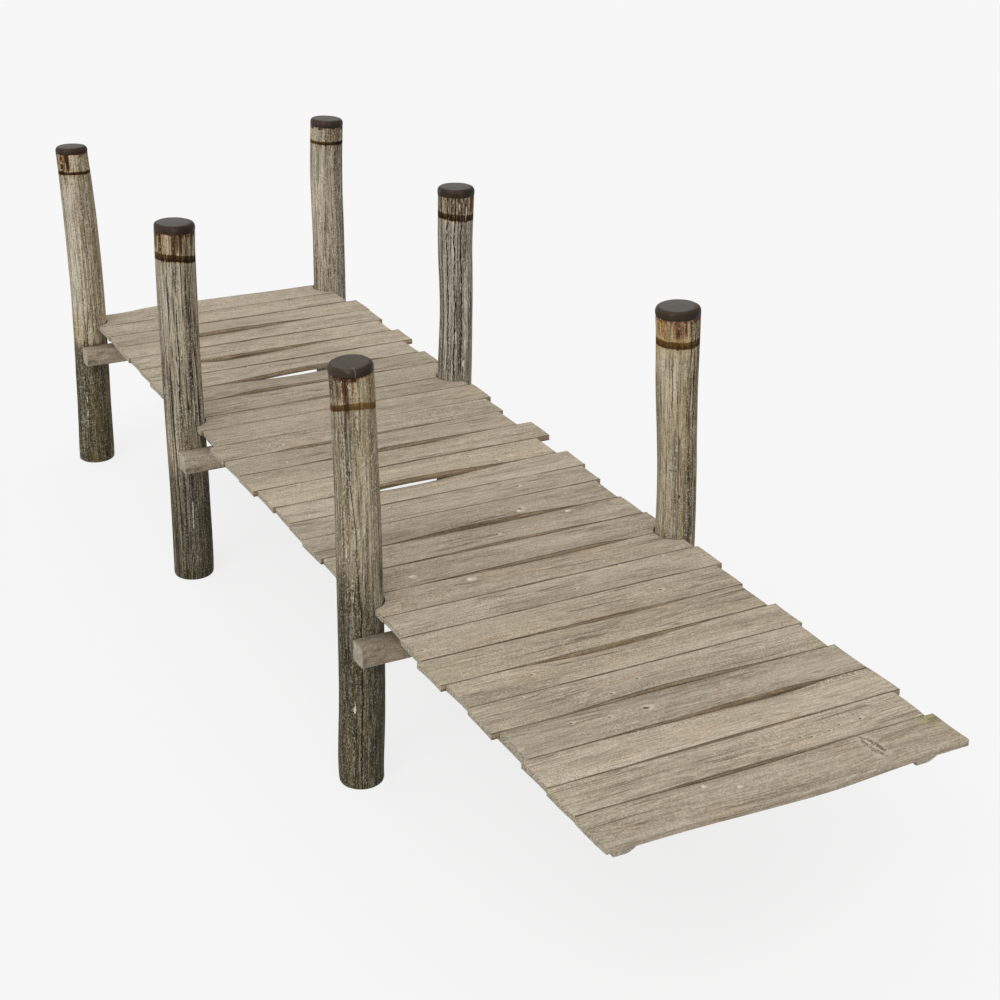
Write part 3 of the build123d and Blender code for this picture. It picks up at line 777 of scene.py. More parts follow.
# ---------------------------------------------------------------- log posts
# Places round a post are in degrees from its near side towards +X. For each post:
# ring: width in metres of the stained ring below its cap, how dark, how much darker to the right
# ring_set: how far the ring sits lower, sags at the sides and leans, in metres
# wet: heights between which the wood turns from dark to pale
# length, fine: how stretched the grain is, smaller is longer, and how fine it is across
# stripes, rough, foot: how streaky, how mottled, and how much darker near the deck
# tone, warm: from 0, dark and cool, to 1, pale and warm
# resin, moss: how strong the stain below the cap and the growth near the ground are
# cross_crack: one across (height, from and to in metres round from the first crack, strength)
# rust: runs under the cap (place, width in degrees, length in metres, strength, depth of brown)
# checks, flecks: streaks (place, lowest and highest point, width in mm, strength)
# cracks: the longest (place at the foot, degrees it leans, lowest and highest point, width)
# pale, shades, dots: zones, the last of small dots (place, width, lowest, highest, strength);
# pale and shades are partly paler and darker wood, partly painted light on the lit side
# and painted shade on the side away from the light
# knots: (place, height, size in mm)
posts = {
    "post_near_left": dict(
        ring=(0.029, 0.4, -0.15), ring_set=(0.014, 0.024, -0.004), resin=0.6, wet=(0.66, 1.42),
        moss=0.5, stripes=0.3, tone=0.4, warm=0.71, rough=0.7, foot=0, length=0.8, fine=1.15,
        cross_crack=(0.545, -0.055, 0.004, 1),
        rust=[(-86, 14, 0.14, 0.75, 1), (-60, 9, 0.14, 0.75, 0.95), (-40, 10, 0.12, 1, 0.5),
              (-33, 5, 0.24, 0.95, 0.8), (-22, 4, 0.12, 0.6, 0.3), (-42, 8, 0.36, 0.55, 0.9)],
        checks=[(-22, 0, 0.9, 4, 0.5), (-30, 1, 1.3, 4, 0.5), (-64, 1.15, 1.42, 4, 0.5),
                (-24, 0.86, 1.06, 4, 0.4), (-2, 1.1, 1.6, 3, 0.5), (30, 1.3, 1.7, 4, 0.5),
                (-70, 0.2, 0.6, 4, 0.6), (5, 0.1, 0.6, 3, 0.5), (-45, 0.1, 0.5, 3, 0.5)],
        flecks=[(-56, 0.95, 1.35, 3.5, 0.8), (-41, 0.88, 1.12, 3.5, 0.6), (-36, 1.5, 1.64, 4, 0.8),
                (-42, 0.385, 0.455, 7, 1.2), (-100, 0.84, 0.9, 7, 1.2), (-40, 0.06, 0.3, 3.5, 1),
                (-62, 0.06, 0.17, 3, 0.9)],
        cracks=[(-22, 0, -0.1, 0.97, 1.35), (-23, -16, 0.92, 1.6, 0.6), (-64, 3, 1.19, 1.42, 0.9)],
        pale=[(-1, 17, 1.84, 2.15, 1), (6, 22, 1.08, 1.62, 0.4), (36, 24, 0.7, 1.05, 0.75),
              (34, 26, 0.05, 0.72, 0.18), (-50, 16, 0.72, 0.92, 0.3)],
        shades=[(-84, 24, 0.9, 1.84, 0.36), (-56, 14, 1.3, 1.84, 0.34), (-38, 15, 1.48, 1.9, 0.7),
                (-40, 9, 1.86, 2.15, 0.3), (32, 18, 0.95, 2.15, 0.42), (-64, 24, -0.1, 0.75, 0.1),
                (-14, 18, 0.85, 1.28, 0.24), (-28, 14, 1.15, 1.55, 0.22),
                (-86, 16, 1.84, 2.15, 0.8), (-56, 10, 1.86, 2.15, 0.55)],
        dots=[(-52, 20, 0.85, 1.75, 0.8), (-20, 60, 0, 0.8, 0.22)],
        knots=[(-36, 1.3, 14)]),
    "post_middle_left": dict(
        ring=(0.037, 0.79, 0.1), ring_set=(0.012, 0.01, 0.01), resin=0.7, wet=(0.38, 0.9),
        moss=0.35, stripes=0.8, tone=0.62, warm=0.5, rough=0.9, foot=0.12, length=0.95, fine=1.3,
        rust=[(-64, 8, 0.15, 1, 0.75), (-54, 7, 0.14, 0.7, 0.1), (-22, 9, 0.05, 0.9, 0.8),
              (-23, 6, 0.17, 1, 0.9), (0, 4, 0.14, 1, 0.8), (-90, 14, 0.12, 0.8, 0.8),
              (26, 24, 0.03, 0.9, 0.7), (10, 6, 0.09, 0.8, 0.2), (-12, 7, 0.13, 0.8, 0.6)],
        checks=[(-24, 1.3, 1.62, 4, 0.4), (-23, 0.88, 1.28, 5, 0.6), (-3, 0.95, 1.12, 7, 0.9),
                (-34, 1.2, 1.6, 4, 0.25), (5, 0.2, 0.8, 4, 0.6), (-44, 0.9, 1.3, 4, 0.5),
                (8, 1.2, 1.7, 4, 0.25), (-60, 1.1, 1.7, 5, 0.5), (20, 0.9, 1.8, 4, 0.35)],
        flecks=[(-29, 1.1, 1.5, 4, 0.8), (-12, 0.3, 0.7, 4, 0.7), (-44, 0.56, 0.6, 10, 1),
                (-16, 1.3, 1.55, 5, 0.7)],
        cracks=[(-26, 4, 0.88, 1.6, 1), (16, 0, 0.88, 1.55, 0.9), (-45, 0, 1.45, 1.95, 0.8)],
        pale=[(-84, 12, 1.3, 2.15, 0.6), (-38, 8, 1.84, 2.15, 1), (-8, 4, 1.84, 2.15, 0.6),
              (-40, 14, 1.35, 1.84, 0.6), (-27, 6, 1.5, 1.84, 0.5), (-22, 30, 0.05, 0.64, 0.17),
              (-52, 46, 1.42, 1.86, 0.42)],
        shades=[(-90, 18, 0.9, 1.85, 0.3), (24, 26, 0.85, 1.86, 0.4), (54, 12, 0.9, 1.85, 0.3),
                (-22, 6, 1.86, 2.15, 0.75), (15, 7, 0.88, 1.5, 0.4), (-76, 14, 0.86, 1.12, 0.35),
                (-40, 22, 0.8, 1.05, 0.32)],
        dots=[(-35, 40, 0.1, 0.8, 0.25), (-38, 10, 1.83, 1.97, 0.8)],
        knots=[(-2, 1.02, 22)]),
    "post_far_left": dict(
        ring=(0.018, 0.95, 0), ring_set=(0, 0, 0), resin=0.35, wet=(0.66, 0.94), moss=0.75,
        stripes=0.25, tone=1, warm=0.78, rough=1, foot=0.05, length=0.75, fine=0.85,
        rust=[(-61, 8, 0.14, 1.35, 1), (-49, 24, 0.13, 1, 0.1), (-36, 8, 0.13, 1.35, 1),
              (-46, 7, 0.23, 0.62, 0), (-88, 10, 0.1, 0.7, 0.4)],
        checks=[(-30, 1.2, 1.6, 4, 0.4), (5, 1.3, 1.8, 3, 0.5), (20, 0.9, 1.6, 4, 0.6),
                (35, 0.85, 1.5, 4, 0.6), (12, 0.9, 1.3, 4, 0.3)],
        flecks=[(-39, 0.22, 0.5, 6, 0.6), (-46, 0.1, 0.3, 4, 0.5), (-44, 1.88, 1.96, 6, 0.7)],
        cracks=[(-2, 0, 0.85, 1.85, 0.55), (8, 0, 0.85, 1.4, 0.55), (24, 0, 0.9, 1.6, 0.5)],
        pale=[(-68, 32, 0.95, 1.86, 1), (-38, 24, 0.95, 1.86, 1), (-8, 20, 0.95, 1.86, 0.6),
              (0, 18, 1.84, 2.15, 0.8), (-42, 18, 0.05, 0.66, 0.12)],
        shades=[(26, 28, 0.8, 2.15, 0.46), (0, 12, 0.85, 1.12, 0.32), (54, 12, 0.8, 1.9, 0.3)],
        dots=[(-15, 40, 0.05, 0.75, 0.2)],
        knots=[(-32, 1.085, 24)]),
    "post_near_right": dict(
        ring=(0.033, 0.7, 0), ring_set=(0.005, 0, 0), resin=0.8, wet=(0.05, 0.6), moss=0.3,
        stripes=0.15, tone=0.57, warm=0.96, rough=0.65, foot=0.15, length=1.05, fine=1.15,
        cross_crack=(1.25, -0.12, -0.08, 0.6),
        rust=[(-71, 12, 0.125, 0.85, 0), (-28, 14, 0.12, 1, 0.5), (-11, 7, 0.11, 0.9, 0.5),
              (6, 4, 0.11, 0.8, 0.9), (-30, 20, 0.035, 0.85, 0.6), (-88, 8, 0.12, 0.6, 0.3)],
        checks=[(-45, 1.6, 1.83, 4, 0.3), (2, 1.1, 1.8, 4, 0.4), (10, 0.85, 1.8, 4, 0.4),
                (19, 1, 1.95, 5, 0.5), (6, 1.4, 1.85, 4, 0.6), (-15, 0.95, 1.1, 4, 0.6),
                (-60, 1.2, 1.5, 3, 0.4), (40, 0.85, 1.5, 5, 0.8), (16, 0.85, 1.3, 4, 0.35)],
        flecks=[(-53, 1.9, 1.96, 6, 0.8), (-33, 1.33, 1.4, 8, 0.6)],
        cracks=[(19, 0, 0.9, 1.96, 0.8), (4, 0, 0.85, 1.4, 0.5), (-45, 0, 1.55, 1.85, 0.5)],
        pale=[(-84, 14, 0.9, 1.84, 0.8), (-62, 26, 0.9, 1.84, 0.5), (-38, 16, 0.85, 1.84, 0.72),
              (14, 4, 1.86, 2.15, 0.6)],
        shades=[(6, 18, 0.8, 1.36, 0.84), (-98, 14, 0.8, 1.75, 0.5), (54, 12, 0.85, 2.15, 0.5),
                (34, 14, 0.8, 1.5, 0.6), (38, 15, 1.4, 2.15, 0.85), (-28, 6, 1.48, 2.15, 0.22),
                (-40, 60, 1.86, 2.15, 0.2), (2, 12, 1.3, 1.9, 0.25), (20, 20, 1.84, 2.15, 0.78),
                (-46, 7, 1.86, 2.15, 0.5), (-20, 8, 1.86, 2.15, 0.4)],
        knots=[(-24, 1.12, 20)]),
    "post_middle_right": dict(
        ring=(0.036, 0.92, 0), ring_set=(0, 0, 0.009), resin=0.8, wet=(0.05, 0.6), moss=0.3,
        stripes=0.75, tone=0.46, warm=0.2, rough=0.8, foot=0.1, length=0.5, fine=1.3,
        rust=[(-62, 10, 0.13, 0.62, 0.6), (18, 9, 0.14, 0.65, 0.5), (42, 14, 0.13, 0.7, 0.5),
              (-38, 12, 0.13, 0.7, 0.9), (0, 40, 0.02, 0.7, 0.9), (-10, 10, 0.12, 0.7, 0.8),
              (6, 7, 0.12, 0.9, 1), (30, 9, 0.12, 0.9, 0.9)],
        checks=[(-51, 0.9, 2.1, 4, 0.3), (-40, 1.84, 2.1, 4, 0.7), (-27, 0.9, 2.1, 4, 0.5),
                (-17, 1.8, 2.1, 4, 0.7), (-5, 0.9, 1.9, 4, 0.5), (-12, 0.9, 1.5, 4.5, 0.7),
                (-60, 1.2, 2.1, 4.5, 0.7), (14, 1.2, 1.9, 4, 0.5), (28, 1, 1.9, 4, 0.5)],
        flecks=[(9.6, 1.12, 1.56, 11, 1), (4, 0.98, 1.2, 9, 1), (-14, 1, 1.3, 5, 0.7),
                (-28, 1.1, 1.22, 6, 0.8), (11, 1.83, 1.95, 4, 0.8), (-35, 1.88, 1.97, 4, 0.8),
                (-13, 1.87, 1.97, 4, 0.8)],
        cracks=[(-54, 0, 0.95, 2.1, 1.3), (-32, 4, 0.88, 2.1, 1.5), (-7, 0, 0.95, 1.95, 1.4)],
        pale=[(-10, 5, 1.2, 1.9, 0.5), (-28, 4, 1.4, 1.9, 0.4), (9.6, 8, 1.05, 1.6, 1),
              (-44, 20, 0.85, 1.86, 0.3)],
        shades=[(-26, 60, 1.86, 2.15, 0.3), (22, 34, 1.84, 2.15, 0.5), (-14, 10, 0.85, 1.3, 0.32),
                (-88, 16, 0.85, 2.15, 0.6), (-46, 12, 0.85, 2.15, 0.5), (40, 14, 0.85, 1.9, 0.65),
                (4, 40, 0.85, 1.9, 0.26), (-12, 8, 0.85, 1.84, 0.3), (28, 24, 0.85, 1.92, 0.56),
                (58, 14, 0.85, 1.95, 0.4)]),
    "post_far_right": dict(
        ring=(0.02, 0.82, 0.25), ring_set=(-0.016, 0, 0), resin=0.5, wet=(0.05, 0.6), moss=0.6,
        stripes=0.22, tone=0.58, warm=0.38, rough=0.95, foot=0.38, length=0.85, fine=1,
        rust=[(4, 5, 0.07, 0.5, 0.2), (-28, 7, 0.05, 0.45, 0.1)],
        checks=[(11.5, 1.7, 1.79, 6, 0.6), (-25, 0.96, 1.09, 4, 0.4), (-66, 1.75, 2.1, 4, 0.8),
                (30, 1.1, 1.9, 4, 0.6), (-40, 1, 1.5, 3, 0.4), (2, 1.2, 1.5, 4, 0.6),
                (20, 1.2, 2.1, 4, 0.6)],
        cracks=[(11.5, 0, 1.7, 1.87, 1.3), (-25, 0, 0.96, 1.09, 0.9), (-36, 0, 1.12, 1.42, 0.7)],
        pale=[(-66, 34, 1.2, 2.15, 0.9), (-48, 20, 0.95, 1.3, 0.5), (-24, 6, 1.84, 2.15, 0.7),
              (-80, 14, 0.85, 1.35, 0.6)],
        shades=[(-15, 7, 1.55, 2.15, 0.42), (54, 17, 0.82, 2.15, 0.68), (20, 14, 0.9, 2.15, 0.28),
                (-2, 32, 1.86, 2.15, 0.42), (-40, 9, 1.86, 2.15, 0.35), (-11, 9, 1.84, 2.15, 0.95),
                (46, 14, 1.7, 2.15, 0.85), (2, 30, 0.82, 1.2, 0.3)]),
}
# More checks, strewn from one place to another: how many, and the widest in millimetres.
strewn_checks = [(70, 300, 26, 6.0), (-110, 70, 16, 4.0)]
log_sides, log_rings = 180, 178
log_front = math.radians(-24)
log_crowd = 0.42
# Heights between which a post's dark foot and its moss fade, and the resin's, below the cap.
foot_fades, moss_fades, resin_fades = (0.85, 1.45), (0.25, 0.7), (0.10, 0.155)
# Where a cross beam's seat may lie: heights, radians to each side of the near side, and how
# deep it is at least.
seat_low, seat_high, seat_turn, seat_depth = 0.66, 0.80, 1.3, 0.0008


class Skin:
    """A log's points, with their height, their place round it and its girth there."""

    def __init__(self, piece, seed):
        self.points, self.seed = points_of(piece), seed
        self.x, self.y, self.z = layer_of(piece, "middle", 3).T
        self.girth = layer_of(piece, "girth")
        spot = layer_of(piece, "spot", 3)
        self.angle = np.arctan2(spot[:, 0], -spot[:, 1])
        self.degrees, self.turn = np.degrees(self.angle), (self.angle / (2 * pi)) % 1

    def turned(self, place):
        """Degrees round the log from a place, between -180 and 180."""
        return (self.degrees - place + 180) % 360 - 180

    def apart(self, place, sway=0.0, number=0):
        """Distance round the log from a wandering line, in millimetres."""
        seed = self.seed
        place = place + sway * (
            soft_noise(self.z * 4 + number, seed, seed + 7)
            + 0.35 * soft_noise(self.z * 22 + number, seed, seed + 8))
        return np.abs(self.turned(place)) * pi / 180 * self.girth * 1000

    def side(self, place, width, sway):
        """1 at a wandering line, falling off over a width in degrees."""
        return hump(self.apart(place, sway), width * pi / 180 * self.girth * 1000)

    def zones(self, marked):
        """Soft zones, each strongest in its middle."""
        total = np.zeros_like(self.z)
        for place, width, foot, head, strength in marked:
            run = min(0.12, (head - foot) / 3)
            ends = between(self.z, foot - run / 2, foot + run, head - run, head + run / 2)
            total = np.maximum(total, self.side(place, width, 2.5) * ends * strength)
        return total

    def streaks(self, marked, sway, share, rise, fall, broken):
        """Wandering streaks up the log; broken says for each how much of it is left where."""
        total = np.zeros_like(self.z)
        for number, (place, foot, head, width, strength) in enumerate(marked):
            ends = between(self.z, foot, foot + rise, head - fall, head)
            streak = hump(self.apart(place, sway, number), width * share)
            total = np.maximum(total, streak * ends * strength * broken(number))
        return total

    def checks(self, marked):
        return self.streaks(
            marked, 2.4, 0.62, 0.08, 0.1,
            lambda number: 0.65 + 0.35 * soft_noise(self.z * 12, number, self.seed + 9))

    def flecks(self, marked):
        left = smooth_step(
            soft_noise(self.turn * 60, self.z * 30, self.seed + 12, 60)
            + soft_noise(self.turn * 30, self.z * 9, self.seed + 13, 30), -0.4, 0.65)
        return self.streaks(marked, 2.0, 1.0, 0.03, 0.03, lambda number: left)

    def rust(self, below, runs):
        """How far rust covers each point below the cap, and how deep its brown is."""
        rust, deep = np.zeros_like(below), np.full_like(below, 0.6)
        for place, width, length, strength, brown in runs:
            run = 1 - smooth_step(below, length * 0.55, length)
            run = self.side(place, width, 1.5) * strength * run
            deep = np.where(run > rust, brown, deep)
            rust = np.maximum(rust, run)
        # blotches all round the back
        blotches = smooth_step(
            soft_noise(self.turn * 14, self.z * 6, self.seed + 18, 14), 0.1, 0.8)
        behind = smooth_step(np.abs((self.angle + 0.38 + pi) % (2 * pi) - pi), 1.6, 2.0)
        blotches = blotches * behind * (1 - smooth_step(below, 0.06, 0.16)) * 0.9
        rust = np.maximum(rust, blotches)
        # an uneven brown lip right below the cap's edge
        lip = soft_noise(self.turn * 22, 2, self.seed + 21, 22)
        lip = (0.78 + 0.35 * lip) * (
            1 - smooth_step(below, 0.004 + 0.006 * lip, 0.018 + 0.010 * lip))
        deep = np.where(lip > rust, 0.72, deep)
        return np.maximum(rust, lip), deep

    def cracks(self, marked):
        """Layers of places measured from each crack, and how wide it is there."""
        layers = {}
        for count, (place, lean, foot, head, wide) in enumerate(marked, 1):
            turned = self.turned(place + lean * (self.z - foot) / (head - foot))
            ends = between(self.z, foot - 0.02, foot + 0.03, head - 0.05, head)
            layers[f"crack_{count}"] = columns(
                turned * pi / 180 * self.girth, self.z + self.seed + 3 * count,
                np.where(np.abs(turned) < 60, wide * ends, 0))
        return layers

    def cross_crack(self, first_place, height, start, end, strength):
        turned = self.turned(first_place)
        near = (np.abs(turned) < 90) & (np.abs(self.z - height) < 0.06)
        run = (turned * pi / 180 * self.girth - start) / (end - start)
        return columns(self.z - height, run, np.where(near, strength, 0))

    def seat(self, tree):
        """Where the flat cut for the cross beam lies, and how far out it is there."""
        surface = np.full(len(self.z), np.inf)
        near = (self.z > seat_low) & (self.z < seat_high) & (np.abs(self.angle) < seat_turn)
        for k in np.flatnonzero(near):
            out = (math.sin(self.angle[k]), -math.cos(self.angle[k]), 0)
            found = hit(tree, (self.x[k], self.y[k], self.z[k]), out)
            if found is not None:
                surface[k] = math.hypot(found.x - self.x[k], found.y - self.y[k])
        return surface < self.girth - seat_depth, surface


def log_middle(node):
    """Heights up a post, and the middle and radius of the log at each, from its solid."""
    tree = cad_tree(node)
    low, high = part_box(node)
    x, y = (low.x + high.x) / 2, (low.y + high.y) / 2
    heights = np.linspace(low.z + 0.001, high.z - 0.022, 60)
    found = []
    for z in heights:
        for _ in range(3):
            left = hit(tree, (x - 0.3, y, z), (1, 0, 0))
            right = hit(tree, (x + 0.3, y, z), (-1, 0, 0))
            x, radius = (left.x + right.x) / 2, (right.x - left.x) / 2
            y = hit(tree, (x, y + 0.3, z), (0, -1, 0)).y - radius
        found.append((x, y, radius))
    reach = radius * 0.9
    edge = [
        hit(tree, (x + dx * reach, y + dy * reach, high.z + 0.1), (0, 0, -1)).z
        for dx, dy in ((1, 0), (-1, 0), (0, 1), (0, -1))]
    slope = ((edge[0] - edge[1]) / (2 * reach), (edge[2] - edge[3]) / (2 * reach), 0)
    return tree, heights, np.array(found), slope, sum(edge) / 4 + 0.001


def make_log(node, marks, seed):
    tree, heights, found, slope, top = log_middle(node)
    low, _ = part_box(node)
    levels = np.concatenate([[low.z, low.z + 0.004], np.linspace(low.z, top, log_rings)[1:]])
    x, y, girth = (np.interp(levels, heights, values) for values in found.T)
    # above the last level that was measured the log leans on as below it
    drift = (found[-1] - found[-6]) / (heights[-1] - heights[-6])
    above = np.maximum(levels - heights[-1], 0)
    piece = grow(
        node.replace("post", "log"), log_tree_made,
        columns(x + above * drift[0], y + above * drift[1], levels), {"girth": girth},
        {"Sides": log_sides, "Front": log_front, "Crowd": log_crowd, "Top Slope": slope,
         "Top": float(top), "Seed": float(seed), "Wood": materials["log"]})
    settle(piece, 60)
    skin = Skin(piece, seed)
    forget_layers(piece)
    z, girth = skin.z, skin.girth
    radius = np.hypot(skin.points[:, 0] - skin.x, skin.points[:, 1] - skin.y)
    seat, surface = skin.seat(tree)

    random = np.random.default_rng(seed + 5)
    lines = list(marks["checks"])
    for first, last, number, widest in strewn_checks:
        for _ in range(number):
            foot = random.uniform(0.0, 1.6)
            lines.append((
                random.uniform(first, last), foot, foot + random.uniform(0.1, 0.5),
                random.uniform(2.5, widest), random.uniform(0.3, 0.8)))
    check, relief = skin.checks(lines), np.zeros_like(z)
    for place, height, size in marks.get("knots", ()):
        far = np.hypot(skin.apart(place), (z - height) * 800) / size
        relief += 0.0022 * hump(far - 0.7, 0.35) - 0.003 * hump(far, 0.35)
        check = np.maximum(check, 0.75 * hump(far, 0.3))
        check = np.maximum(check, 0.35 * hump(far - 0.95, 0.12))
    relief += 0.0006 * soft_noise(skin.turn * 60, z * 7, seed + 2, 60) - 0.0055 * check
    relief -= 0.004 * hump(z - low.z, 0.004)
    body = radius > 0.5 * girth
    radius = np.where(seat, surface, radius + relief)
    out = columns(np.sin(skin.angle), -np.cos(skin.angle))
    skin.points[:, :2] = np.where(
        body[:, None], columns(skin.x, skin.y) + out * radius[:, None], skin.points[:, :2])
    place_points(piece, skin.points)

    below = top - z
    ring_width, ring_strength, ring_turn = marks["ring"]
    drop, sag, lean = marks["ring_set"]
    across = np.sin(skin.angle - log_front)
    rust, rust_deep = skin.rust(below, marks["rust"])
    # shade: dark streaks and painted shade on the side away from the light, and darker near the
    # deck
    shade = np.maximum(
        skin.zones(marks["shades"]), marks["foot"] * (1 - smooth_step(z, *foot_fades)))
    moss = 0.35 + 0.65 * smooth_step(
        soft_noise(skin.turn * 5, z * 2, seed + 19, 5), -0.2, 0.6)
    shift = random.uniform(0, 40, 3)
    cracks = skin.cracks(marks["cracks"])
    if "cross_crack" in marks:
        cracks["cross_crack"] = skin.cross_crack(marks["cracks"][0][0], *marks["cross_crack"])
    paint(
        piece, wood_place=columns(
            z * marks["length"] + shift[0], out[:, 0] * girth * marks["fine"] + shift[1],
            out[:, 1] * girth * marks["fine"] + shift[2]),
        ring=columns(
            below - drop - sag * across ** 2 - lean * across, ring_width / 2,
            ring_strength + ring_turn * across),
        check=np.where(body, check, 0), fleck=skin.flecks(marks.get("flecks", ())),
        pale=skin.zones(marks["pale"]), dots=skin.zones(marks.get("dots", ())), shade=shade,
        rust=rust, rust_deep=rust_deep,
        resin=marks["resin"] * (1 - smooth_step(below, *resin_fades)),
        damp=1 - smooth_step(z, *marks["wet"]),
        moss=marks["moss"] * moss * (1 - smooth_step(z, *moss_fades)),
        **{name: marks[name] for name in ("tone", "warm", "stripes", "rough")}, **cracks)
    finish_piece(piece, node)


# ---------------------------------------------------------------- deck boards
# Knots: where along X and Y, and size in millimetres; below zero it is a pale one.
deck_knots = [
    (-0.161, -2.503, 19), (-0.483, -2.469, 9), (-0.323, -2.495, 9), (0.552, -2.937, 8),
    (-0.078, -2.294, 9), (-0.233, -2.352, 9), (-0.561, -2.207, 8), (-0.438, -2.057, 9),
    (-0.278, -1.158, -16), (-0.143, -1.319, 9), (0.392, -1.325, 14), (0.622, -1.340, 9),
    (0.102, -1.457, 9), (0.439, -1.637, 11), (-0.751, -1.667, 10), (0.047, -0.792, 14),
    (0.277, -0.592, 14), (0.402, -0.322, 13), (0.762, -0.507, 9), (0.457, 0.009, 12),
    (0.349, 0.132, 11), (-0.588, 0.184, 12), (-0.468, 0.709, 12), (-0.533, 0.484, 11),
    (-0.218, 1.934, 14), (0.317, 2.454, 14), (0.256, -0.620, -16), (-0.505, -1.019, -14),
    (0.479, -0.700, -12), (-0.263, -3.078, -9), (-0.141, -3.133, -9), (0.258, -2.957, 7),
    (0.298, -2.978, 8), (0.336, -2.979, 7), (0.386, -2.970, 8), (0.448, -2.950, 7),
    (0.548, -2.952, 9)]
# Slanting oval scars: middle, half length and half width in millimetres, turn in degrees.
deck_scars = [((0.474, -3.136), 76, 25, -88), ((0.479, 3.005), 50, 18, -70)]
# Green growth: where along X and Y, reach in metres and strength.
deck_green = [(0.785, -3.075, 0.045, 1.0), (0.80, -2.4, 0.05, 0.4)]
# Each board's tone (0 dark to 1 pale), warmth and sandiness, from the near end.
board_looks = [
    (0.47, 0.5, 0.3), (0.80, 0.5, 0.4), (1.0, 0.5, 1), (0.58, 0.3, 0.4), (0.68, 0.4, 0.5),
    (0.68, 0.7, 0.5), (0.55, 0.8, 0.5), (0.66, 0.6, 0.5), (0.74, 0.4, 0.5), (0.6, 0.6, 0.4),
    (0.52, 0.3, 0.6), (0.6, 0.4, 0.5), (0.47, 0.3, 0.5), (0.66, 0.3, 0.5), (0.80, 0.5, 0.4),
    (0.82, 0.8, 0.4), (0.62, 0.6, 0.4), (0.46, 0.4, 0.6), (0.56, 0.5, 0.5), (0.60, 0.5, 0.5),
    (0.42, 0.4, 0.5), (0.6, 0.4, 0.4), (0.60, 0.5, 0.5), (0.92, 0.4, 0.6), (0.88, 0.5, 0.5),
    (0.97, 0.5, 0.5), (0.92, 0.4, 0.5), (0.72, 0.5, 0.5), (0.88, 0.5, 0.5), (0.88, 0.4, 0.5)]
# Painted shade where a board tilts away from the light, as darker bands: board, share across,
# width as a share, from and to along X, strength.
board_shade_bands = [
    (4, 0.9, 0.22, -0.80, 0.25, 0.7), (9, 0.2, 0.3, -0.3, 0.7, 0.6),
    (12, 0.85, 0.3, -0.2, 0.7, 0.5), (13, 0.15, 0.3, -0.8, 0.1, 0.6),
    (5, 0.1, 0.15, -0.5, 0.6, 0.4), (7, 0.8, 0.25, 0.0, 0.8, 0.4),
    (18, 0.5, 0.3, -0.6, 0.2, 0.35), (23, 0.7, 0.3, -0.2, 0.8, 0.4),
    (28, 0.3, 0.3, -0.8, 0.3, 0.4)]
board_thickness = 0.030
board_pitch = 0.0092
board_columns = 18
end_inset = 0.0015
warp_reach = 0.16
seam_close = 0.0012
knot_reach = 0.018
first_board, last_board = 1, len(board_looks)


def board_section(near_round, far_round):
    """Points round a board: share across, inset from that share, and drop below the top."""
    points = [(0, 0.0, drop * board_thickness) for drop in (0.95, 0.72, 0.5)]
    for slant in map(math.radians, (0, 30, 60)):
        points.append((0, near_round * (1 - math.cos(slant)), near_round * (1 - math.sin(slant))))
    for share in np.linspace(0, 1, board_columns):
        points.append((share, near_round * (1 - share) - far_round * share, 0.0))
    for slant in map(math.radians, (60, 30, 0)):
        points.append((1, -far_round * (1 - math.cos(slant)), far_round * (1 - math.sin(slant))))
    points += [(1, 0.0, drop * board_thickness) for drop in (0.5, 0.72, 0.95)]
    points += [(share, 0.0, board_thickness) for share in (0.99, 0.66, 0.33, 0.01)]
    return points


def section_piece(points):
    count = len(points)
    piece = new_piece(
        "section", [(across * 0.2 + inset, -drop, 0) for across, inset, drop in points],
        [(k, (k + 1) % count) for k in range(count)], [])
    across, inset, drop = np.array(points).T
    paint(piece, across=across, inset=inset, drop=drop)
    return piece


def board_tops(node, xs):
    """Height of a board's near and far upper edge at each place along it."""
    tree = cad_tree(node)
    low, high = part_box(node)
    found = []
    for y in (low.y + 0.001, high.y - 0.001):
        hits = [hit(tree, (x, y, high.z + 0.1), (0, 0, -1)) for x in xs]
        known = [(x, h.z) for x, h in zip(xs, hits) if h is not None and h.z > low.z + 0.001]
        found.append(np.interp(xs, *zip(*known)))
    return found


def board_knots(points, low, high):
    """What knots do to a board: their layer, its grain pushed aside, and its relief."""
    across, dip = points[:, 1] - low.y, np.zeros(len(points))
    knot, nearest = np.zeros((len(points), 3)), np.full(len(points), 0.16)
    for x, y, size in deck_knots:
        if low.y - 0.01 < y < high.y + 0.01:
            heart = abs(size) * 0.00075
            dx, dy = (points[:, 0] - x) / heart / 1.25, (points[:, 1] - y) / heart
            far = np.hypot(dx, dy)
            counts = math.copysign(1, size) * (
                1 - smooth_step(far, 2.8, 2.8 + knot_reach / heart))
            closest = far * heart < nearest
            nearest = np.where(closest, far * heart, nearest)
            knot = np.where(closest[:, None], columns(dx, dy, counts), knot)
            across = across - hump(far, 3) * np.sign(dy) * heart * np.minimum(1, np.abs(dy))
            dip += 0.0010 * hump(far - 1.2, 0.6) - 0.0015 * hump(far, 0.6)
    return knot, across, dip


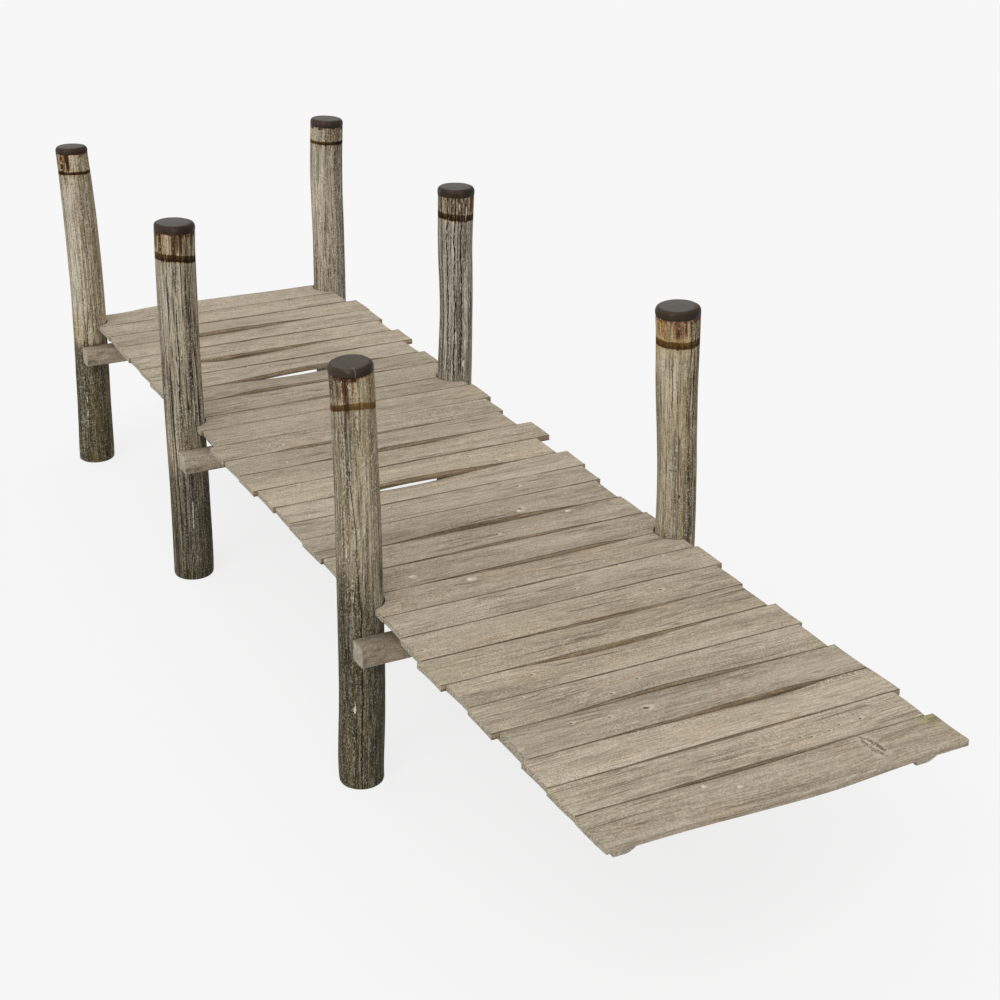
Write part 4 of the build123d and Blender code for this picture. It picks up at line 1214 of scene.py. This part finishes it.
def board_scars(points, low, high):
    """The layer of a board's scars, and how deep they are torn."""
    scar, dip = np.zeros((len(points), 3)), np.zeros(len(points))
    for (x, y), length, width, turn in deck_scars:
        if low.y - 0.02 < y < high.y + 0.02:
            c, s = math.cos(math.radians(turn)), math.sin(math.radians(turn))
            dx, dy = (points[:, 0] - x) * 1000, (points[:, 1] - y) * 1000
            u, v = (dx * c + dy * s) / length, (dy * c - dx * s) / width
            far = np.hypot(u, v / 1.6)
            inside = 1 - smooth_step(far, 1.1, 1.6)
            scar = np.where((far < 2.6)[:, None], columns(u, v, inside), scar)
            dip -= 0.003 * np.exp(-(np.hypot(u, v) / 0.7) ** 4)
    return scar, dip


def board_edges(points, number, low, high, top):
    """How far in from the long edges, or down their sides; the deck's ends count as inside."""
    near_side, far_side = points[:, 1] - low.y + seam_close, high.y + seam_close - points[:, 1]
    to_edge = np.minimum(
        near_side + (number == first_board), far_side + (number == last_board))
    down = top - points[:, 2]
    edge = np.where((to_edge < 0.004) & (down > 0.003), -down, np.maximum(to_edge - 0.0006, 0))
    # the first board's front face stays out of the painted side shade
    if number == first_board:
        edge = np.where((near_side < 0.004) & (down > 0.004), 0.02, edge)
    return edge


def make_board(number):
    node, seed = f"plank_{number:02d}", 100 + number * 13
    random = np.random.default_rng(seed)
    low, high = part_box(node)
    xs = np.linspace(low.x, high.x, int((high.x - low.x) / board_pitch))
    xs = np.concatenate([[low.x, low.x + end_inset], xs[1:-1], [high.x - end_inset, high.x]])
    near_top, far_top = board_tops(node, xs)
    from_left, from_right = np.exp((low.x - xs) / warp_reach), np.exp((xs - high.x) / warp_reach)
    cup = from_left * random.uniform(-0.004, 0.003) + from_right * random.uniform(-0.002, 0.004)
    skew = from_left * random.uniform(-0.006, 0.006) + from_right * random.uniform(-0.006, 0.006)
    hollow = from_left * random.uniform(0, 0.003) - from_right * random.uniform(0, 0.002)
    rounds = (random.uniform(0.0006, 0.0012), random.uniform(0.0006, 0.0012))
    if number == first_board:
        rounds, cup = (0.004, 0.001), from_left * -0.006
    wear = np.zeros_like(xs)
    wear[[0, -1]] = board_wear
    section = section_piece(board_section(*rounds))
    piece = grow(
        f"board_{number:02d}", timber_tree_made, columns(xs, low.y, high.z),
        dict(along=xs, near_edge=low.y - seam_close * (number > first_board),
             far_edge=high.y + seam_close * (number < last_board), near_top=near_top,
             far_top=far_top, cup=cup, skew=skew, hollow=hollow, wear=wear),
        {"Section": section, "Thickness": board_thickness, "Wander": 0.0008, "Ripple": 0.0010,
         "Seed": float(number * 3.7), "Wood": materials["deck"]})
    bpy.data.objects.remove(section)
    forget_layers(piece)
    settle(piece, 50)
    cut_round_posts(piece, low, high, board_notch_sides, seed)
    settle(piece, 50)

    points = points_of(piece)
    x, y, z = points.T.copy()
    knot, across, knot_dip = board_knots(points, low, high)
    scar, scar_dip = board_scars(points, low, high)
    share = (y - low.y) / (high.y - low.y)
    # painted shade in bands where the board tilts away from the light
    shade = np.zeros(len(points))
    for board, middle, width, start, end, strength in board_shade_bands:
        if board == number:
            ends = between(x, start - 0.1, start + 0.15, end - 0.15, end + 0.1)
            wave = 0.1 * soft_noise(x * 4, 0, seed + 23)
            shade = np.maximum(shade, hump(share - middle + wave, width) * ends * strength)
    upper = z > np.interp(x, xs, (near_top + far_top) / 2) - 0.5 * board_thickness
    z += np.where(upper, knot_dip + scar_dip, 0)
    points[:, 2] = z
    place_points(piece, points)

    shift = random.uniform(0, 60, 3)
    tone, warm, sand = board_looks[number - 1]
    heart_y, heart_z = random.uniform(0.02, 0.2), random.uniform(0.07, 0.15)
    top = np.interp(x, xs, near_top) * (1 - share) + np.interp(x, xs, far_top) * share
    green = 0.55 * (1 - smooth_step(x - low.x, 0.0005, 0.003))
    for green_x, green_y, reach, strength in deck_green:
        far = np.hypot(x - green_x, y - green_y) / reach
        patch = hump(far) + 0.3 * soft_noise(x * 60, y * 60, seed + 27) * np.exp(-far)
        green = np.maximum(green, np.clip(patch, 0, 1) * strength)
    paint(
        piece, wood_place=columns(x + shift[0], across + shift[1], z + shift[2]),
        heart=columns(x + shift[0], across - heart_y, z - high.z + heart_z), knot=knot, scar=scar,
        edge=board_edges(points, number, low, high, top), shade=shade, green=green, tone=tone,
        warm=warm, sand=sand * smooth_step(
            soft_noise(x * 3 + number, across * 9, seed + 25), -0.4, 0.5))
    finish_piece(piece, node)


# ---------------------------------------------------------------- beams and bearers
def rounded_section(corners, rounds, step=0.012):
    """Points round a section (share across, 0, drop) whose corners are worn round."""
    points = []
    corners = [np.array(corner, float) for corner in corners]

    def towards(here, there, length):
        return here + (there - here) / np.linalg.norm(there - here) * length

    for k, here in enumerate(corners):
        after = (k + 1) % len(corners)
        first = towards(here, corners[k - 1], rounds[k])
        last = towards(here, corners[after], rounds[k])
        for s in (0, 0.5, 1):
            points.append((1 - s) ** 2 * first + 2 * s * (1 - s) * here + s * s * last)
        follows = towards(corners[after], here, rounds[after])
        gap = np.linalg.norm(follows - last)
        for s in np.linspace(0, 1, max(2, int(gap / step)))[1:-1]:
            points.append(last + (follows - last) * s)
    return points


def make_timber(node, name, along, corners, rounds, seed, pitch, tone):
    """A timber along X or Y: corners of its section are (across, drop) in metres."""
    low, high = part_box(node)
    main, side = (0, 1) if along == "X" else (1, 0)
    size, depth = high[side] - low[side], high.z - low.z
    steps = np.linspace(low[main], high[main], int((high[main] - low[main]) / pitch))
    steps = np.concatenate([
        [steps[0], steps[0] + timber_wear], steps[1:-1], [steps[-1] - timber_wear, steps[-1]]])
    section = section_piece([
        (across / size, 0.0, drop) for across, drop in rounded_section(corners, rounds)])
    wear = np.zeros_like(steps)
    wear[[0, -1]] = timber_wear
    run, across = Vector((0, 0, 0)), Vector((0, 0, 0))
    run[main], across[side] = 1, 1
    piece = grow(
        name, timber_tree_made, columns(steps, 0, high.z),
        dict(along=steps, near_edge=low[side], far_edge=high[side], near_top=high.z,
             far_top=high.z, cup=0, skew=0, hollow=0, wear=wear),
        {"Section": section, "Run": run[:], "Side": across[:], "Thickness": depth,
         "Wander": 0.0014, "Ripple": 0.0004, "Seed": float(seed),
         "Wood": materials["sawn " + along]})
    bpy.data.objects.remove(section)
    forget_layers(piece)
    settle(piece, 40)
    if along == "Y":
        cut_round_posts(piece, low, high, bearer_notch_sides, seed)
        settle(piece, 40)

    points = points_of(piece)
    far, beside, z = points[:, main], points[:, side], points[:, 2]
    random = np.random.default_rng(seed)
    shift = random.uniform(0, 60, 3)
    # drying cracks run in from both ends
    to_end = np.minimum(far - low[main], high[main] - far)
    crack = np.zeros_like(z)
    for _ in range(5):
        level, length = random.uniform(low.z + 0.02, high.z - 0.02), random.uniform(0.05, 0.22)
        line = level + 0.006 * soft_noise(far * 20, 0, seed + 3)
        crack = np.maximum(
            crack, hump(z - line, 0.0018) * (1 - smooth_step(to_end, length * 0.4, length)))
    # shade: painted shade along the top, under what lies on the timber
    paint(
        piece, wood_place=columns(far + shift[0], beside + shift[1], z + shift[2]),
        heart=columns(
            far + shift[0], beside - (low[side] + high[side]) / 2 - 0.02, z - low.z + 0.03),
        split=crack * 0.8, shade=0.85 * smooth_step(z, high.z - 0.006, high.z - 0.001),
        tone=tone, warm=0.4, sand=0.4, edge=1)
    finish_piece(piece, node)


def make_beam(node, seed, tone):
    low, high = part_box(node)
    width, depth = high.y - low.y, high.z - low.z
    make_timber(
        node, node.replace("cross_beam", "crossbeam"), "X",
        [(0, 0), (width, 0), (width, depth), (0, depth)], beam_rounds, seed, beam_pitch, tone)


def make_bearer(node, seed):
    """A bearer with one waney edge, whose two facets follow the solid's."""
    low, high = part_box(node)
    width, depth = high.x - low.x, high.z - low.z
    make_timber(
        node, node.replace("stringer", "bearer"), "Y",
        [(0, 0), (width, 0), (width, depth * 0.505), (width * 0.93, depth * 0.773),
         (width * 0.575, depth), (0, depth)], bearer_rounds, seed, bearer_pitch, 1.0)


# ---------------------------------------------------------------- caps
def make_cap(node, seed, chalk, scratches):
    """The cap's own solid, meshed evenly and left slightly uneven."""
    built = bmesh.new()
    built.from_mesh(nodes[node].data)
    bmesh.ops.remove_doubles(built, verts=built.verts, dist=cap_double_distance)
    piece = new_piece(node.replace("cap", "capping"), [], [], [])
    built.to_mesh(piece.data)
    built.free()
    even = piece.modifiers.new("even", "REMESH")
    even.mode, even.voxel_size = "VOXEL", cap_pitch
    soften = piece.modifiers.new("soften", "SMOOTH")
    soften.iterations, soften.factor = 5, 0.5
    evaluated(piece)
    piece.data.materials.clear()
    piece.data.materials.append(materials["cap"])
    piece.data.polygons.foreach_set("use_smooth", [True] * len(piece.data.polygons))

    points = points_of(piece)
    x, y, z = points.T
    low, high = (np.array(corner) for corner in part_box(node))
    middle = (low + high) / 2
    away = points - middle
    lift = 0.0010 * soft_noise(x / 0.035 + seed, y / 0.035, seed)
    lift += 0.0007 * soft_noise(x / 0.06, z / 0.02 + y / 0.05, seed + 1)
    scratch = np.zeros(len(points))
    for start, end in np.array(scratches):
        run, from_start = end - start, away[:, :2] - start
        length = np.linalg.norm(run)
        u, v = from_start @ run / length, from_start @ np.array((run[1], -run[0])) / length
        v = v + 0.001 * soft_noise(u * 60, 0, seed + 4)
        line = hump(v, 0.0016) * between(u, 0, 0.01, length - 0.01, length)
        scratch = np.maximum(scratch, line)
    lift -= 0.0006 * scratch
    points += away / np.linalg.norm(away, axis=1)[:, None] * lift[:, None]
    place_points(piece, points)

    rise = (z - low[2]) / (high[2] - low[2])
    far = np.linalg.norm(away[:, :2], axis=1)
    turned = away[:, :2] / (far[:, None] + 0.001)
    # painted shade on the shady side of the cap's rim, and darker towards its bottom rim
    outer = smooth_step(far, 0.066, 0.086)
    grime = smooth_step(turned @ np.array(shady_side), 0.35, 1.0) * outer * 0.75
    grime = np.maximum(grime, (1 - smooth_step(rise, 0.0, 0.3)) * outer * 0.45)
    # a painted highlight in patches along the shoulder on the sunny side
    sunny = smooth_step(turned @ np.array(sunny_side), 0.1, 0.8)
    patches = smooth_step(soft_noise(x / 0.04, y / 0.04, seed + 2), -0.2, 0.4)
    # paint the chalky top, which also carries painted light, the painted shade and the highlight
    paint(
        piece, scratch=scratch, chalk=chalk, grime=grime,
        worn=hump(rise - 0.62, 0.12) * outer * patches * sunny * 0.6)
    finish_piece(piece, node)


# ---------------------------------------------------------------- make the jetty
sawn_colours = (
    (0.360, 0.302, 0.230), (0.418, 0.355, 0.272), (0.462, 0.400, 0.312), (0.075, 0.054, 0.034))
beam_colours = [tuple(value * 1.08 for value in colour) for colour in sawn_colours]
materials = {
    "deck": sawn_wood("deck boards", *sawn_colours, (0.56, 0.51, 0.405), "X"),
    "sawn X": sawn_wood("cross beams", *beam_colours, (0.56, 0.50, 0.405), "X", 1.6),
    # the bearers' end grain is paler, partly its own colour and partly painted light on ends that
    # lie in the deck's shade
    "sawn Y": sawn_wood("bearers", *beam_colours, (0.74, 0.68, 0.56), "Y"),
    "log": log_wood(),
    "cap": cap_metal(),
}
timber_tree_made = timber_tree()
log_tree_made = log_tree()

# where the posts pass the deck, and how far the timbers are cut back round them
notches = []
for node in posts:
    _, heights, found, _, _ = log_middle(node)
    x, y, radius = (float(np.interp(deck_level, heights, values)) for values in found.T)
    notches.append((x, y, radius + notch_clearance))

for count, (node, marks) in enumerate(posts.items()):
    make_log(node, marks, 11 + 37 * count)
for number in range(first_board, last_board + 1):
    make_board(number)
for count, (place, tone) in enumerate((("near", 0.08), ("middle", 1.0), ("far", 1.0))):
    make_beam(f"cross_beam_{place}", 70 + count, tone)
for count, side in enumerate(("left", "right")):
    make_bearer(f"stringer_{side}", 80 + count)
for count, node in enumerate(posts):
    # the near left cap's top is less chalky, with less painted light on it
    chalk, scratches = (0.48, [near_scratch]) if count == 0 else (1.0, [])
    make_cap(node.replace("post", "cap"), 900 + 3 * count, chalk, scratches)

# ---------------------------------------------------------------- studio
reach = 60
floor = new_piece(
    "floor", [(-reach, -reach, 0), (reach, -reach, 0), (reach, reach, 0), (-reach, reach, 0)], [],
    [(0, 1, 2, 3)])
paper = bpy.data.materials.new("pale floor")
paper.use_nodes = True
n = Nodes(paper.node_tree)
paper.node_tree.nodes.remove(paper.node_tree.nodes["Principled BSDF"])
seen = n.add("ShaderNodeLightPath").outputs
looked_at = n.math(
    "MAXIMUM", seen["Is Camera Ray"],
    n.math("MAXIMUM", seen["Is Glossy Ray"], seen["Is Transmission Ray"]))
plain = n.run("ShaderNodeBsdfDiffuse", Color=(0.50, 0.49, 0.475))
faint = n.run("ShaderNodeBsdfDiffuse", Color=(0.13, 0.13, 0.13))
glow = n.run("ShaderNodeEmission", Color=(1, 1, 1), Strength=0.80)
both = n.join("ShaderNodeAddShader", faint, glow)
choose = n.join("ShaderNodeMixShader", looked_at, plain, both)
n.put(paper.node_tree.nodes["Material Output"].inputs["Surface"], choose)
floor.data.materials.append(paper)

world = bpy.data.worlds.new("studio")
bpy.context.scene.world = world
world.use_nodes = True
n = Nodes(world.node_tree)
seen = n.add("ShaderNodeLightPath").outputs
looked_at = n.math("MAXIMUM", seen["Is Camera Ray"], seen["Is Transmission Ray"])
height = n.parts(n.run("ShaderNodeTexCoord", "Generated"))[2]
sky = n.span(height, 0.0, 1.0, 0.60, 0.86, smooth=False)
n.put(
    world.node_tree.nodes["Background"].inputs["Color"],
    n.mix(looked_at, sky, (0.93, 0.93, 0.93)))

key = bpy.data.objects.new("key", bpy.data.lights.new("key", "SUN"))
bpy.context.scene.collection.objects.link(key)
key.data.energy = 1.0
key.data.angle = math.radians(35)
key.rotation_euler = Vector((1.0, 0.85, -1.35)).to_track_quat("-Z", "Y").to_euler()

bpy.context.scene.view_settings.view_transform = "Standard"
